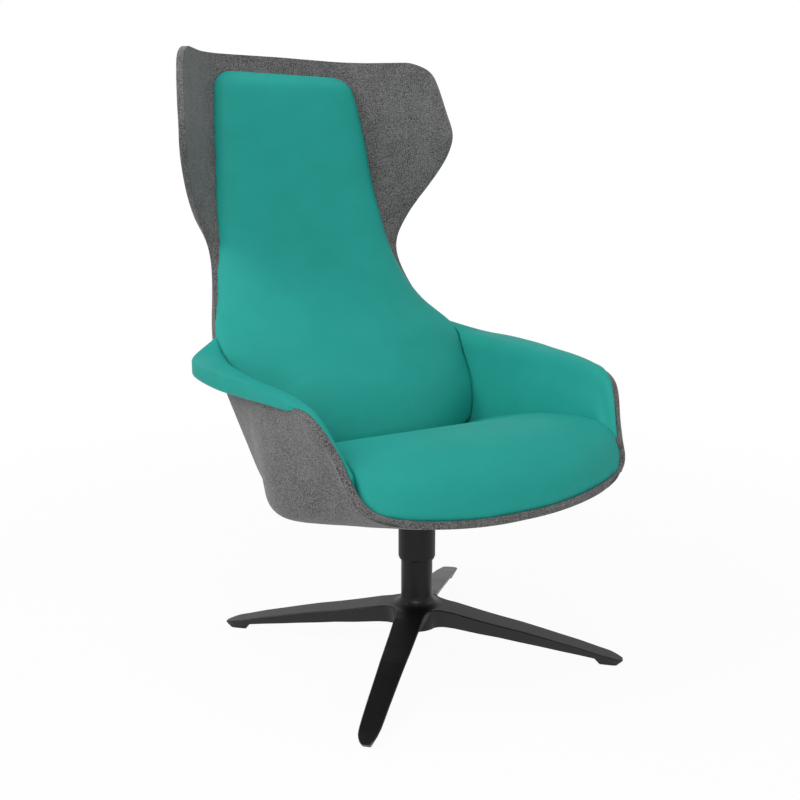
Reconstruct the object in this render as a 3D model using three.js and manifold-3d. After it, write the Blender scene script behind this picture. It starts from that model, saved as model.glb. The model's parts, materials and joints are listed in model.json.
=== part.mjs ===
import * as THREE from "three";
import { mergeVertices } from "three/addons/utils/BufferGeometryUtils.js";
import Module from "manifold-3d";

// High back lounge chair: a pressed felt shell with wings and arms, four upholstered
// pads, and a swivelling four-legged base. Millimetres, +Z up, the seat faces -Y.

const wasm = await Module();
wasm.setup();

// Clearances
const seatingGap = 0.3; // between pieces that rest on each other
const runningGap = 0.6; // between the spindle and its bushes, on the radius
const cutOverrun = 20; // how far a cutting tool reaches past what it cuts

// Felt shell
const seatFrontHeight = 342.5; // floor to the top of the front edge, at its middle
const backRise = 763; // front edge to the top edge of the back
const shellHalfWidth = 330; // outside of the arms, from the middle
const shellDepth = 846; // front edge to the top edge, along the floor
const feltThickness = 12;
const panSlope = 0.11; // fall of the seat pan towards the back, per unit of depth

// Pads
const seatCushionRise = 105; // crown of the seat above the front edge
const boardThickness = 9;
const armBandHeight = 31; // of the outer side of the armrest, at its fullest
const armLeafCrown = 2;
const armFaceBulge = 4;
const armShoulderDrop = 12;
const armShoulderReach = 3;

// Base
const legReach = 378; // swivel axis to the tip of a leg
const legRootHalfWidth = 27;
const legRootTop = 84.5;
const legRootUnderside = 42.5;
const webRadius = 30; // inside corner between two legs, in plan
const hubFilletRadius = 20;
const legEdgeChamfer = 1.6;
const glideThickness = 4;
const glideStemRadius = 4;
const glideStemLength = 8;
const columnRadius = 28.9;
const hubHeight = 58.1; // top of the column to the underside of the mounting plate
const columnBoreRadius = 20;
const counterboreRadius = 25;

// Swivel
const spindleRadius = 15;
const spindleHubRadius = 25;
const washerThickness = 2.5;
const washerRadius = 27;
const bushLength = 34;
const bushFlangeThickness = 2;
const bushFlangeRadius = 23.5;
const lowerBushRise = 52; // its top over the root of the legs
const sleeveRadius = 33.9;
const sleeveOverlap = 60; // how far it reaches down over the column
const sleeveWall = 4;
const sleeveChamfer = 5;
const sleeveCollarHeight = 14;
const clipThickness = 1.8;
const clipGrooveDepth = 2;
const clipWidth = 5;
const clipOpening = 0.6; // radians of the ring that are left out
const plugThickness = 3;
const plugSpigotLength = 10;
const plugWall = 2.5;

// Seat mounting
const plateSize = 150;
const plateThickness = 6;
const plateCornerRadius = 16;
const boltSpacing = 110;
const boltRadius = 4;
const boltHeadRadius = 8;
const boltHeadHeight = 4.5;
const nutFlangeRadius = 10.5;
const nutFlangeThickness = 1.6;
const nutBarrelWall = 1.6;
const seatBoardWidth = 340;
const seatBoardDepth = 240;
const seatBoardForward = 30; // its middle lies this far in front of the swivel axis
const seatBoardCornerRadius = 40;

// Resolution
const roundSteps = 36;
const smallRoundSteps = 14;
const cornerSteps = 6;

// Finishes
const tealCloth = new THREE.MeshStandardMaterial({ color: 0x2b9a8c, roughness: 0.9, metalness: 0 });
const greyFelt = new THREE.MeshStandardMaterial({ color: 0x5a5a5a, roughness: 1, metalness: 0 });
const birchPly = new THREE.MeshStandardMaterial({ color: 0xc9a877, roughness: 0.8, metalness: 0 });
const blackCoat = new THREE.MeshStandardMaterial({ color: 0x1c1c1c, roughness: 0.45, metalness: 0.2 });
const blackPlastic = new THREE.MeshStandardMaterial({ color: 0x151515, roughness: 0.6, metalness: 0 });
const zincSteel = new THREE.MeshStandardMaterial({ color: 0xa9adb0, roughness: 0.35, metalness: 1 });
const whiteAcetal = new THREE.MeshStandardMaterial({ color: 0xdedbd2, roughness: 0.5, metalness: 0 });

const chair = new THREE.Group();

// Solids and meshes

function solidOf(geometry) {
  const bare = geometry.index ? geometry.toNonIndexed() : geometry.clone();
  bare.deleteAttribute("normal");
  bare.deleteAttribute("uv");
  const merged = mergeVertices(bare, seatingGap / 1000);
  return new wasm.Manifold(
    new wasm.Mesh({
      numProp: 3,
      vertProperties: merged.attributes.position.array,
      triVerts: new Uint32Array(merged.index.array),
    }),
  );
}

function geometryOf(solid) {
  const made = solid.getMesh();
  const geometry = new THREE.BufferGeometry();
  const points = new Float32Array(made.numVert * 3);
  for (let i = 0; i < made.numVert; i++) {
    const start = i * made.numProp;
    points.set(made.vertProperties.subarray(start, start + 3), i * 3);
  }
  geometry.setAttribute("position", new THREE.BufferAttribute(points, 3));
  geometry.setIndex(new THREE.BufferAttribute(made.triVerts, 1));
  geometry.computeVertexNormals();
  return geometry;
}

function addPiece(parent, name, shape, material) {
  const geometry = shape.isBufferGeometry ? shape : geometryOf(shape);
  const piece = new THREE.Mesh(geometry, material);
  piece.name = name;
  parent.add(piece);
  return piece;
}

// A closed solid between two grids of points, front and back, given row by row.
function slab(front, back) {
  const rows = front.length;
  const columns = front[0].length;
  const points = [];
  for (const point of [front, back].flat(2)) points.push(point.x, point.y, point.z);
  const at = (side, row, column) => side * rows * columns + row * columns + column;
  const faces = [];
  const quad = (a, b, c, d) => faces.push(a, b, c, a, c, d);
  for (let r = 0; r < rows - 1; r++) {
    for (let c = 0; c < columns - 1; c++) {
      const corners = [[r, c], [r, c + 1], [r + 1, c + 1], [r + 1, c]];
      // The diagonals of the right half mirror those of the left half.
      if (c * 2 >= columns - 1) corners.push(corners.shift());
      quad(...corners.map(([row, column]) => at(0, row, column)));
      quad(...corners.reverse().map(([row, column]) => at(1, row, column)));
    }
  }
  for (let c = 0; c < columns - 1; c++) {
    quad(at(0, 0, c), at(1, 0, c), at(1, 0, c + 1), at(0, 0, c + 1));
    quad(at(0, rows - 1, c), at(0, rows - 1, c + 1), at(1, rows - 1, c + 1), at(1, rows - 1, c));
  }
  for (let r = 0; r < rows - 1; r++) {
    quad(at(0, r, 0), at(0, r + 1, 0), at(1, r + 1, 0), at(1, r, 0));
    const last = columns - 1;
    quad(at(0, r, last), at(1, r, last), at(1, r + 1, last), at(0, r + 1, last));
  }
  const geometry = new THREE.BufferGeometry();
  geometry.setAttribute("position", new THREE.Float32BufferAttribute(points, 3));
  geometry.setIndex(faces);
  return solidOf(geometry);
}

// The largest body of a trimmed solid.
function mainBody(solid) {
  return solid.decompose().sort((a, b) => b.volume() - a.volume())[0];
}

// A solid of revolution about Z from a closed outline of [radius, height] pairs.
function turned(outline, steps = roundSteps) {
  const points = outline.map(([radius, height]) => new THREE.Vector2(radius, height));
  const closed = outline[0][0] === 0 && outline[outline.length - 1][0] === 0;
  if (!closed) points.push(points[0].clone());
  return solidOf(new THREE.LatheGeometry(points, steps).rotateX(Math.PI / 2));
}

function extruded(shape, height, base = 0, curveSegments = cornerSteps) {
  const geometry = new THREE.ExtrudeGeometry(shape, { depth: height, bevelEnabled: false, curveSegments });
  return solidOf(geometry.translate(0, 0, base));
}

function rod(radius, base, height, steps = smallRoundSteps) {
  const geometry = new THREE.CylinderGeometry(radius, radius, height, steps);
  return solidOf(geometry.rotateX(Math.PI / 2).translate(0, 0, base + height / 2));
}

function roundedRectangle(width, depth, radius) {
  const x = width / 2;
  const y = depth / 2;
  const shape = new THREE.Shape();
  shape.moveTo(radius - x, -y);
  shape.lineTo(x - radius, -y);
  shape.absarc(x - radius, radius - y, radius, -Math.PI / 2, 0);
  shape.lineTo(x, y - radius);
  shape.absarc(x - radius, y - radius, radius, 0, Math.PI / 2);
  shape.lineTo(radius - x, y);
  shape.absarc(radius - x, y - radius, radius, Math.PI / 2, Math.PI);
  shape.lineTo(-x, radius - y);
  shape.absarc(radius - x, radius - y, radius, Math.PI, Math.PI * 1.5);
  return shape;
}

// The seat pan's plane: the height of the felt's inner face over the floor.
const frontShare = 0.364; // of the shell's depth, from the front edge to the swivel axis
const frontReach = shellDepth * frontShare;
const panHeight = (y) => seatFrontHeight - panSlope * (y + frontReach);
const columnTop = panHeight(0) - feltThickness - plateThickness - hubHeight;

// A curve through points that are given as shares of the shell's width, depth and rise.
function shellCurve(shares) {
  const points = shares.map(
    ([across, along, up]) =>
      new THREE.Vector3(
        across * shellHalfWidth,
        along * shellDepth,
        up === null ? panHeight(along * shellDepth) : seatFrontHeight + up * backRise,
      ),
  );
  return new THREE.CatmullRomCurve3(points, false, "catmullrom", 0.5);
}

// Felt shell: three lines run from the front edge over the pan and up the back.
// The sections between them are a flat middle, a soft corner and a straight wall.
const centreShares = [
  [0, -0.364, 0.002],
  [0, -0.31, null],
  [0, -0.254, null],
  [0, -0.199, null],
  [0, -0.13, null],
  [0, -0.041, null],
  [0, 0.092, null],
  [0, 0.139, null],
  [0, 0.196, -0.031],
  [0, 0.266, 0.11],
  [0, 0.343, 0.241],
  [0, 0.455, 0.418],
  [0, 0.514, 0.529],
  [0, 0.546, 0.615],
  [0, 0.57, 0.717],
  [0, 0.584, 0.792],
  [0, 0.597, 0.86],
  [0, 0.615, 0.938],
  [0, 0.626, 1],
];
const cornerShares = [
  [0.364, -0.364, 0.001],
  [0.59, -0.298, null],
  [0.7, -0.233, null],
  [0.763, -0.175, null],
  [0.828, -0.118, null],
  [0.873, -0.035, null],
  [0.755, 0.083, null],
  [0.685, 0.134, null],
  [0.655, 0.201, -0.031],
  [0.645, 0.279, 0.123],
  [0.594, 0.355, 0.254],
  [0.552, 0.463, 0.427],
  [0.561, 0.518, 0.532],
  [0.558, 0.551, 0.616],
  [0.545, 0.574, 0.717],
  [0.533, 0.589, 0.792],
  [0.524, 0.6, 0.86],
  [0.515, 0.615, 0.938],
  [0.509, 0.625, 0.998],
];
const rimShares = [
  [0.72, -0.322, 0.029],
  [0.8, -0.298, 0.063],
  [0.838, -0.252, 0.147],
  [0.9, -0.204, 0.212],
  [0.914, -0.13, 0.236],
  [0.924, -0.012, 0.24],
  [0.916, 0.071, 0.241],
  [0.903, 0.16, 0.248],
  [0.842, 0.262, 0.239],
  [0.768, 0.352, 0.285],
  [0.7, 0.434, 0.367],
  [0.655, 0.493, 0.48],
  [0.721, 0.486, 0.571],
  [0.797, 0.447, 0.645],
  [0.864, 0.4, 0.726],
  [0.883, 0.381, 0.792],
  [0.867, 0.4, 0.857],
  [0.83, 0.433, 0.949],
  [0.78, 0.465, 0.99],
];
// How much of each section's legs its soft corner takes up, station by station.
const softShares = [
  0.95, 0.6, 0.35, 0.25, 0.18, 0.14, 0.14, 0.16, 0.25, 0.35,
  0.4, 0.6, 0.5, 0.4, 0.35, 0.35, 0.35, 0.35, 0.35,
];
const stations = rimShares.length - 1;
const shellRows = stations * 2;
const shellColumns = 11; // from the middle to the rim
const cornerWeight = 1.8; // columns are this much closer in the soft corner
const slopeStep = 1e-3;

const centreLine = shellCurve(centreShares);
const cornerLine = shellCurve(cornerShares);
const rimLine = shellCurve(rimShares);

function shareAt(shares, t) {
  const place = t * (shares.length - 1);
  const before = Math.min(Math.floor(place), shares.length - 2);
  return THREE.MathUtils.lerp(shares[before], shares[before + 1], place - before);
}

// A point of the felt's inner face, u from -1 at the left rim to 1 at the right rim,
// t from 0 at the front edge to 1 at the top edge.
function shellPoint(u, t) {
  const centre = centreLine.getPoint(t);
  const corner = cornerLine.getPoint(t);
  const rim = rimLine.getPoint(t);
  const soft = shareAt(softShares, t);
  const bendStart = corner.clone().lerp(centre, soft);
  const bendEnd = corner.clone().lerp(rim, soft);
  const flat = centre.distanceTo(bendStart);
  const bend = (bendStart.distanceTo(corner) + corner.distanceTo(bendEnd)) * cornerWeight;
  const wall = bendEnd.distanceTo(rim);
  const place = Math.abs(u) * (flat + bend + wall);
  let point;
  if (place < flat) point = centre.lerp(bendStart, place / flat);
  else if (place < flat + bend) {
    point = new THREE.QuadraticBezierCurve3(bendStart, corner, bendEnd).getPoint((place - flat) / bend);
  } else point = bendEnd.lerp(rim, Math.min(1, (place - flat - bend) / wall));
  point.x *= Math.sign(u);
  return point;
}

// The felt's inward normal at the same place.
function shellNormal(u, t) {
  const limit = (value, low) => Math.min(1, Math.max(low, value));
  const across = shellPoint(limit(u + slopeStep, -1), t).sub(shellPoint(limit(u - slopeStep, -1), t));
  const along = shellPoint(u, limit(t + slopeStep, 0)).sub(shellPoint(u, limit(t - slopeStep, 0)));
  return across.cross(along).normalize();
}

const shellAt = (u, t, inward) => shellPoint(u, t).addScaledVector(shellNormal(u, t), inward);

// How far a row of the felt reaches across: its top corners are rounded off.
const wingRoundAlong = 0.06; // of the felt's length
const wingRoundAcross = 0.06; // of the half row

function wingReach(t) {
  const past = Math.max(0, 1 - (1 - t) / wingRoundAlong);
  return 1 - wingRoundAcross * (1 - Math.sqrt(1 - past * past));
}

function shellGrid(inward, rim = 0) {
  const rows = [];
  for (let r = 0; r <= shellRows; r++) {
    const t = r / shellRows;
    const far = wingReach(t);
    const step = far / shellColumns;
    const row = [];
    for (let c = -shellColumns; c <= shellColumns; c++) row.push(shellAt(c * step, t, inward));
    if (rim) {
      for (const side of [-1, 1]) {
        const edge = shellAt(side * far, t, inward);
        const inside = shellAt(side * (far - step), t, inward);
        const reach = edge.clone().sub(inside).setLength(rim).add(edge);
        if (side < 0) row.unshift(reach);
        else row.push(reach);
      }
    }
    rows.push(row);
  }
  return rows;
}

// Everything outside the felt's inner face, which trims the pads that lie against it.
// Its outer side is the same face, spread away from where the sitter's chest would be.
const sitterHeightShare = 0.4;
const surroundSpread = 2;

function shellSurroundSlab() {
  const inner = shellGrid(seatingGap, cutOverrun * 2);
  const middle = new THREE.Vector3(0, 0, seatFrontHeight + sitterHeightShare * backRise);
  const spread = (point) => point.clone().sub(middle).multiplyScalar(surroundSpread).add(middle);
  return slab(inner, inner.map((row) => row.map(spread)));
}
const shellSurround = shellSurroundSlab();

function feltShell() {
  return slab(shellGrid(0), shellGrid(-feltThickness));
}
const shell = feltShell();

// Seat mounting, in a frame that lies in the seat pan's slope over the swivel axis:
// its height 0 is the felt's underside and its Y runs along the pan.
const panAngle = -Math.atan(panSlope);
const feltUnderside = panHeight(0) - feltThickness / Math.cos(panAngle);
const mountFrame = new THREE.Matrix4()
  .makeTranslation(0, 0, feltUnderside)
  .multiply(new THREE.Matrix4().makeRotationX(panAngle));
const mountOf = (solid) => solid.transform(mountFrame.elements);

function boltPlaces() {
  const reach = boltSpacing / 2;
  return [
    ["front_left", -reach, -reach],
    ["front_right", reach, -reach],
    ["rear_left", -reach, reach],
    ["rear_right", reach, reach],
  ];
}

const plateTop = -seatingGap;
const plateBottom = plateTop - plateThickness;
const boardBottom = feltThickness + seatingGap;
const boardTop = boardBottom + boardThickness;
const boltHoleRadius = boltRadius + seatingGap;
const nutHoleRadius = boltHoleRadius + nutBarrelWall + seatingGap;

function drilled(solid, radius, base, height) {
  return boltPlaces().reduce(
    (left, [, x, y]) => left.subtract(rod(radius, base, height).translate(x, y, 0)),
    solid,
  );
}

function seatPlate() {
  const outline = roundedRectangle(plateSize, plateSize, plateCornerRadius);
  const plate = extruded(outline, plateThickness, plateBottom);
  return mountOf(drilled(plate, boltHoleRadius, plateBottom - cutOverrun, plateThickness + cutOverrun * 2));
}

function seatBoardBlock(extra) {
  const width = seatBoardWidth + extra * 2;
  const depth = seatBoardDepth + extra * 2;
  const outline = roundedRectangle(width, depth, seatBoardCornerRadius);
  const base = boardBottom - (extra ? cutOverrun : 0);
  return extruded(outline, boardTop + extra - base, base).translate(0, -seatBoardForward, 0);
}

function seatBoard() {
  const drillBase = boardBottom - cutOverrun;
  const through = drilled(seatBoardBlock(0), nutHoleRadius, drillBase, boardThickness + cutOverrun * 2);
  const recess = boardTop - nutFlangeThickness - seatingGap;
  return mountOf(drilled(through, nutFlangeRadius + seatingGap, recess, boardThickness));
}

function mountBolt(x, y) {
  const headTop = plateBottom - seatingGap;
  const head = rod(boltHeadRadius, headTop - boltHeadHeight, boltHeadHeight);
  const shankBase = headTop - boltHeadHeight / 2;
  const shank = rod(boltRadius, shankBase, boardTop - seatingGap - shankBase);
  return mountOf(head.add(shank).translate(x, y, 0));
}

function mountNut(x, y) {
  const flange = rod(nutFlangeRadius, boardTop - nutFlangeThickness, nutFlangeThickness);
  const barrel = rod(nutHoleRadius - seatingGap, boardBottom + seatingGap, boardThickness - seatingGap * 2);
  const bore = rod(boltHoleRadius, boardBottom - cutOverrun, boardThickness + cutOverrun * 2);
  return mountOf(flange.add(barrel).subtract(bore).translate(x, y, 0));
}

function shellWithHoles() {
  const holes = boltPlaces().map(([, x, y]) =>
    mountOf(rod(boltHoleRadius, -cutOverrun, feltThickness + cutOverrun * 2).translate(x, y, 0)),
  );
  return holes.reduce((left, hole) => left.subtract(hole), feltShell());
}

addPiece(chair, "felt_shell", shellWithHoles(), greyFelt);
addPiece(chair, "seat_mount_plate", seatPlate(), blackCoat);
addPiece(chair, "seat_board", seatBoard(), birchPly);
for (const [place, x, y] of boltPlaces()) {
  addPiece(chair, "mount_bolt_" + place, mountBolt(x, y), zincSteel);
  addPiece(chair, "mount_nut_" + place, mountNut(x, y), zincSteel);
}

// Back board, a curved panel between the felt and the back cushion, on the felt's own
// rows and columns.
const backBoardFirstRow = 20;
const backBoardLastRow = 33;
const backBoardColumns = 5;

function backBoardSlab(extra) {
  const grid = (inward) => {
    const rows = [];
    for (let r = backBoardFirstRow; r <= backBoardLastRow; r++) {
      const beyond = (r === backBoardLastRow) - (r === backBoardFirstRow);
      const t = r / shellRows + (beyond * extra) / (shellDepth + backRise);
      const row = [];
      for (let c = -backBoardColumns; c <= backBoardColumns; c++) {
        const aside = Math.abs(c) === backBoardColumns ? (Math.sign(c) * extra) / shellHalfWidth : 0;
        row.push(shellAt(c / shellColumns + aside, t, inward));
      }
      rows.push(row);
    }
    return rows;
  };
  return slab(grid(boardThickness + seatingGap + extra), grid(extra ? -cutOverrun : seatingGap));
}
addPiece(chair, "back_board", backBoardSlab(0), birchPly);

// Cushions: a face that is spanned between a middle line and an edge line, both given
// as shares of the shell's width, depth and rise. The crown falls away towards the edge.
const cushionColumns = 8; // from the middle to the edge

function cushionFace(middleShares, edgeShares, crownPowers, rows, inset) {
  const middle = shellCurve(middleShares);
  const edge = shellCurve(edgeShares);
  const grid = [];
  for (let r = 0; r <= rows; r++) {
    const along = r / rows;
    const centre = middle.getPoint(along);
    const side = edge.getPoint(along);
    const power = shareAt(crownPowers, along);
    const row = [];
    for (let c = -cushionColumns; c <= cushionColumns; c++) {
      const across = Math.sin((c / cushionColumns) * (Math.PI / 2));
      const fall = Math.abs(across) ** power;
      const y = THREE.MathUtils.lerp(centre.y, side.y, fall);
      const z = THREE.MathUtils.lerp(centre.z, side.z, fall);
      row.push(new THREE.Vector3(across * (side.x - inset), y, z));
    }
    grid.push(row);
  }
  if (!inset) return grid;
  return grid.map((row, r) =>
    row.map((point, c) => {
      const nextRow = grid[Math.min(r + 1, rows)][c];
      const lastRow = grid[Math.max(r - 1, 0)][c];
      const nextColumn = row[Math.min(c + 1, row.length - 1)];
      const lastColumn = row[Math.max(c - 1, 0)];
      const normal = nextColumn.clone().sub(lastColumn).cross(nextRow.clone().sub(lastRow)).normalize();
      return point.clone().addScaledVector(normal, -inset);
    }),
  );
}

function moved(grid, x, y, z) {
  const step = new THREE.Vector3(x, y, z);
  return grid.map((row) => row.map((point) => point.clone().add(step)));
}

const seatMiddleShares = [
  [0, -0.362, 0.007],
  [0, -0.358, 0.034],
  [0, -0.348, 0.068],
  [0, -0.323, 0.1],
  [0, -0.279, 0.125],
  [0, -0.219, 0.138],
  [0, -0.154, 0.133],
  [0, -0.071, 0.117],
  [0, 0.033, 0.061],
  [0, 0.101, 0.009],
  [0, 0.177, -0.01],
];
const seatEdgeShares = [
  [0.712, -0.319, 0.034],
  [0.778, -0.294, 0.07],
  [0.782, -0.281, 0.09],
  [0.794, -0.26, 0.11],
  [0.794, -0.225, 0.122],
  [0.788, -0.177, 0.125],
  [0.782, -0.118, 0.118],
  [0.77, -0.035, 0.104],
  [0.758, 0.071, 0.08],
  [0.739, 0.16, 0.053],
  [0.727, 0.213, 0.036],
];
const backMiddleShares = [
  [0, 0.103, 0.012],
  [0, 0.103, 0.066],
  [0, 0.124, 0.123],
  [0, 0.171, 0.182],
  [0, 0.221, 0.236],
  [0, 0.274, 0.29],
  [0, 0.355, 0.362],
  [0, 0.422, 0.438],
  [0, 0.467, 0.51],
  [0, 0.495, 0.582],
  [0, 0.517, 0.661],
  [0, 0.532, 0.733],
  [0, 0.547, 0.811],
  [0, 0.564, 0.896],
  [0, 0.574, 0.938],
  [0, 0.579, 0.955],
];
const backEdgeShares = [
  [0.733, 0.195, 0.045],
  [0.736, 0.193, 0.077],
  [0.748, 0.201, 0.125],
  [0.773, 0.227, 0.166],
  [0.794, 0.268, 0.22],
  [0.797, 0.313, 0.284],
  [0.71, 0.4, 0.347],
  [0.648, 0.466, 0.426],
  [0.618, 0.494, 0.493],
  [0.603, 0.515, 0.569],
  [0.585, 0.534, 0.645],
  [0.567, 0.548, 0.726],
  [0.548, 0.561, 0.807],
  [0.521, 0.582, 0.894],
  [0.491, 0.593, 0.937],
  [0.442, 0.598, 0.955],
];
const seatCrownPowers = [2, 2.4, 3, 3.5, 4, 4, 4, 4, 4, 3, 3];
const backCrownPowers = [2.5, 2.5, 2.5, 3, 4, 5, 6, 8, 8, 8, 8, 8, 8, 8, 8, 8];
const seatRows = 18;
const backRows = 24;
const backBlockShare = 1 / 7; // of the shell's depth, before the felt trims the block

function seatCushionBlock(inset) {
  const top = cushionFace(seatMiddleShares, seatEdgeShares, seatCrownPowers, seatRows, inset);
  return slab(top, moved(top, 0, 0, -seatCushionRise * 2));
}

function backCushionBlock(inset) {
  const face = cushionFace(backMiddleShares, backEdgeShares, backCrownPowers, backRows, inset);
  return slab(face, moved(face, 0, shellDepth * backBlockShare, 0));
}

const sideShift = (solid, x, y, z) => solid.translate(x * seatingGap, y * seatingGap, z * seatingGap);

// The back cushion's block, a gap larger at its sides, in front and below.
function backCushionRoom() {
  const growth = 1 + (seatingGap * 2) / shellHalfWidth;
  return sideShift(backCushionBlock(0).scale([growth, 1, 1]), 0, -1, -1);
}

function backCushion() {
  return mainBody(backCushionBlock(0).subtract(shellSurround).subtract(backBoardSlab(seatingGap * 2)));
}

// Arm pads: a padded layer on the inside of the felt wall that folds over the rim of the
// arm into an overhanging armrest. One section for every row of the felt.
const armFirstRow = 3;
const armLastRow = 18;
const armFeltPlaces = [0.74, 0.86, 0.98]; // along the wall, in the middle of the felt
const armOuterShares = [
  [0.797, -0.272, 0.105],
  [0.848, -0.241, 0.165],
  [0.903, -0.203, 0.209],
  [0.952, -0.148, 0.233],
  [0.977, -0.071, 0.245],
  [0.995, 0.009, 0.25],
  [1.018, 0.073, 0.253],
  [1.036, 0.132, 0.254],
  [1.038, 0.21, 0.256],
  [0.985, 0.284, 0.261],
  [0.794, 0.344, 0.29],
];
const armCrestShares = [
  [0.785, -0.267, 0.104],
  [0.836, -0.225, 0.176],
  [0.861, -0.196, 0.214],
  [0.867, -0.144, 0.232],
  [0.873, -0.071, 0.239],
  [0.877, 0.009, 0.242],
  [0.869, 0.071, 0.244],
  [0.858, 0.132, 0.247],
  [0.838, 0.21, 0.253],
  [0.8, 0.281, 0.261],
  [0.779, 0.331, 0.284],
];
const armFootShares = [
  [0.75, -0.251, 0.081],
  [0.776, -0.21, 0.11],
  [0.776, -0.177, 0.109],
  [0.768, -0.13, 0.102],
  [0.764, -0.057, 0.093],
  [0.761, 0.02, 0.083],
  [0.752, 0.077, 0.055],
  [0.72, 0.139, 0.02],
  [0.69, 0.21, 0.01],
  [0.71, 0.274, 0.03],
  [0.75, 0.317, 0.15],
];
const armBandShares = [0.03, 0.04, 0.05, 0.45, 0.76, 0.93, 1, 0.96, 0.88, 0.72, 0.11];

function armSection(outerLine, crestLine, footLine, along, row) {
  const t = row / shellRows;
  const outerTop = outerLine.getPoint(along);
  const crest = crestLine.getPoint(along);
  const foot = footLine.getPoint(along);
  const outerBottom = outerTop.clone();
  outerBottom.z -= armBandHeight * shareAt(armBandShares, along);
  const leaf = outerTop.clone().lerp(crest, 1 / 2);
  leaf.z += armLeafCrown;
  const shoulder = crest.clone();
  shoulder.x -= armShoulderReach;
  shoulder.z -= armShoulderDrop;
  const face = shoulder.clone().lerp(foot, 1 / 2);
  face.x -= armFaceBulge;
  const felt = armFeltPlaces.map((u) => shellAt(u, t, -feltThickness / 2));
  return [...felt, outerBottom, outerTop, leaf, crest, shoulder, face, foot];
}

// A closed solid through a row of sections along Y, each an outline of as many points,
// which run anticlockwise for an onlooker in front of the chair.
function lofted(sections) {
  const count = sections[0].length;
  const points = sections.flat().flatMap((p) => [p.x, p.y, p.z]);
  const faces = [];
  for (let s = 0; s < sections.length - 1; s++) {
    for (let i = 0; i < count; i++) {
      const j = (i + 1) % count;
      const near = s * count;
      const far = near + count;
      faces.push(near + i, far + j, near + j, near + i, far + i, far + j);
    }
  }
  const last = (sections.length - 1) * count;
  for (let low = 0, high = count - 1; high - low > 1; low++, high--) {
    faces.push(low, low + 1, high, last + low, last + high, last + low + 1);
    if (high - low > 2) faces.push(low + 1, high - 1, high, last + low + 1, last + high, last + high - 1);
  }
  const geometry = new THREE.BufferGeometry();
  geometry.setAttribute("position", new THREE.Float32BufferAttribute(points, 3));
  geometry.setIndex(faces);
  return solidOf(geometry);
}

// The arm pad before the felt trims it.
function armPadBlock() {
  const lines = [armOuterShares, armCrestShares, armFootShares].map(shellCurve);
  const sections = [];
  for (let row = armFirstRow; row <= armLastRow; row++) {
    const along = (row - armFirstRow) / (armLastRow - armFirstRow);
    sections.push(armSection(...lines, along, row));
  }
  return lofted(sections);
}

// The felt shell with the seating gap all round it.
const roomInside = shellGrid(seatingGap, seatingGap);
const roomOutside = shellGrid(-feltThickness - seatingGap, seatingGap);
const feltRoom = slab(roomInside, roomOutside);
const armPad = mainBody(armPadBlock().subtract(feltRoom).subtract(backCushionRoom()));

function seatCushion() {
  const board = mountOf(seatBoardBlock(seatingGap));
  const arm = sideShift(armPadBlock(), -2, -2, 0).add(sideShift(armPadBlock(), -1, 1, -2));
  const open = seatCushionBlock(0).subtract(shellSurround).subtract(board).subtract(backCushionRoom());
  return mainBody(open.subtract(arm).subtract(arm.mirror([1, 0, 0])));
}
addPiece(chair, "back_cushion", backCushion(), tealCloth);
addPiece(chair, "seat_cushion", seatCushion(), tealCloth);
addPiece(chair, "arm_pad_right", armPad, tealCloth);
addPiece(chair, "arm_pad_left", armPad.mirror([1, 0, 0]), tealCloth);

// Star base. A leg runs along +Y and is spanned between sections with sides that lean in
// towards the underside. Each pair is a reach, as a share of the leg's reach, with a height
// or a half width, as a share of the root's.
const legSideDraftShare = 0.5; // of the height between the two edges of a side
const webSteps = 4;
const legTopShares = [
  [0, 1], [0.12, 1], [0.19, 0.953], [0.312, 0.834], [0.41, 0.746],
  [0.508, 0.669], [0.608, 0.574], [0.701, 0.479], [0.796, 0.385],
  [0.892, 0.272], [0.939, 0.225], [0.968, 0.183], [1, 0.136],
];
const legUnderShares = [
  [0, 0.503], [0.175, 0.503], [0.328, 0.42], [0.418, 0.391], [0.516, 0.325], [0.611, 0.278],
  [0.706, 0.225], [0.802, 0.178], [0.868, 0.142], [0.893, 0], [0.97, 0], [1, 0.124],
];
const legWidthShares = [
  [0.15, 1], [0.29, 0.926], [0.444, 0.87], [0.587, 0.796], [0.725, 0.741], [0.852, 0.689],
  [0.913, 0.652], [0.95, 0.593], [0.968, 0.519], [0.99, 0.352], [1, 0.204],
];
const legSectionShares = [
  0.19, 0.312, 0.41, 0.508, 0.608, 0.701, 0.796, 0.868,
  0.893, 0.913, 0.939, 0.952, 0.97, 0.982, 0.99, 1,
];
const glideMiddleShare = 0.932;

function valueAt(pairs, share) {
  const next = Math.max(1, pairs.findIndex(([place]) => place >= share));
  const [from, low] = pairs[next - 1];
  const [to, high] = pairs[next];
  return THREE.MathUtils.lerp(low, high, Math.max(0, (share - from) / (to - from)));
}

function legSection(reach, halfWidth) {
  const top = legRootTop * valueAt(legTopShares, reach / legReach);
  const under = legRootTop * valueAt(legUnderShares, reach / legReach);
  const foot = halfWidth - legSideDraftShare * (top - under);
  const side = [[foot, under], [halfWidth, top - legEdgeChamfer], [halfWidth - legEdgeChamfer, top]];
  const other = side.map(([x, z]) => [-x, z]).reverse();
  return [...side, ...other].map(([x, z]) => new THREE.Vector3(x, reach, z));
}

function legSolid() {
  const middle = legRootHalfWidth + webRadius;
  const sections = [legSection(0, middle - webRadius * Math.SQRT1_2)];
  for (let step = 0; step <= webSteps; step++) {
    const angle = (Math.PI / 4) * (1 - step / webSteps);
    sections.push(legSection(middle - webRadius * Math.sin(angle), middle - webRadius * Math.cos(angle)));
  }
  for (const share of legSectionShares) {
    sections.push(legSection(share * legReach, legRootHalfWidth * valueAt(legWidthShares, share)));
  }
  return lofted(sections);
}

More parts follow.
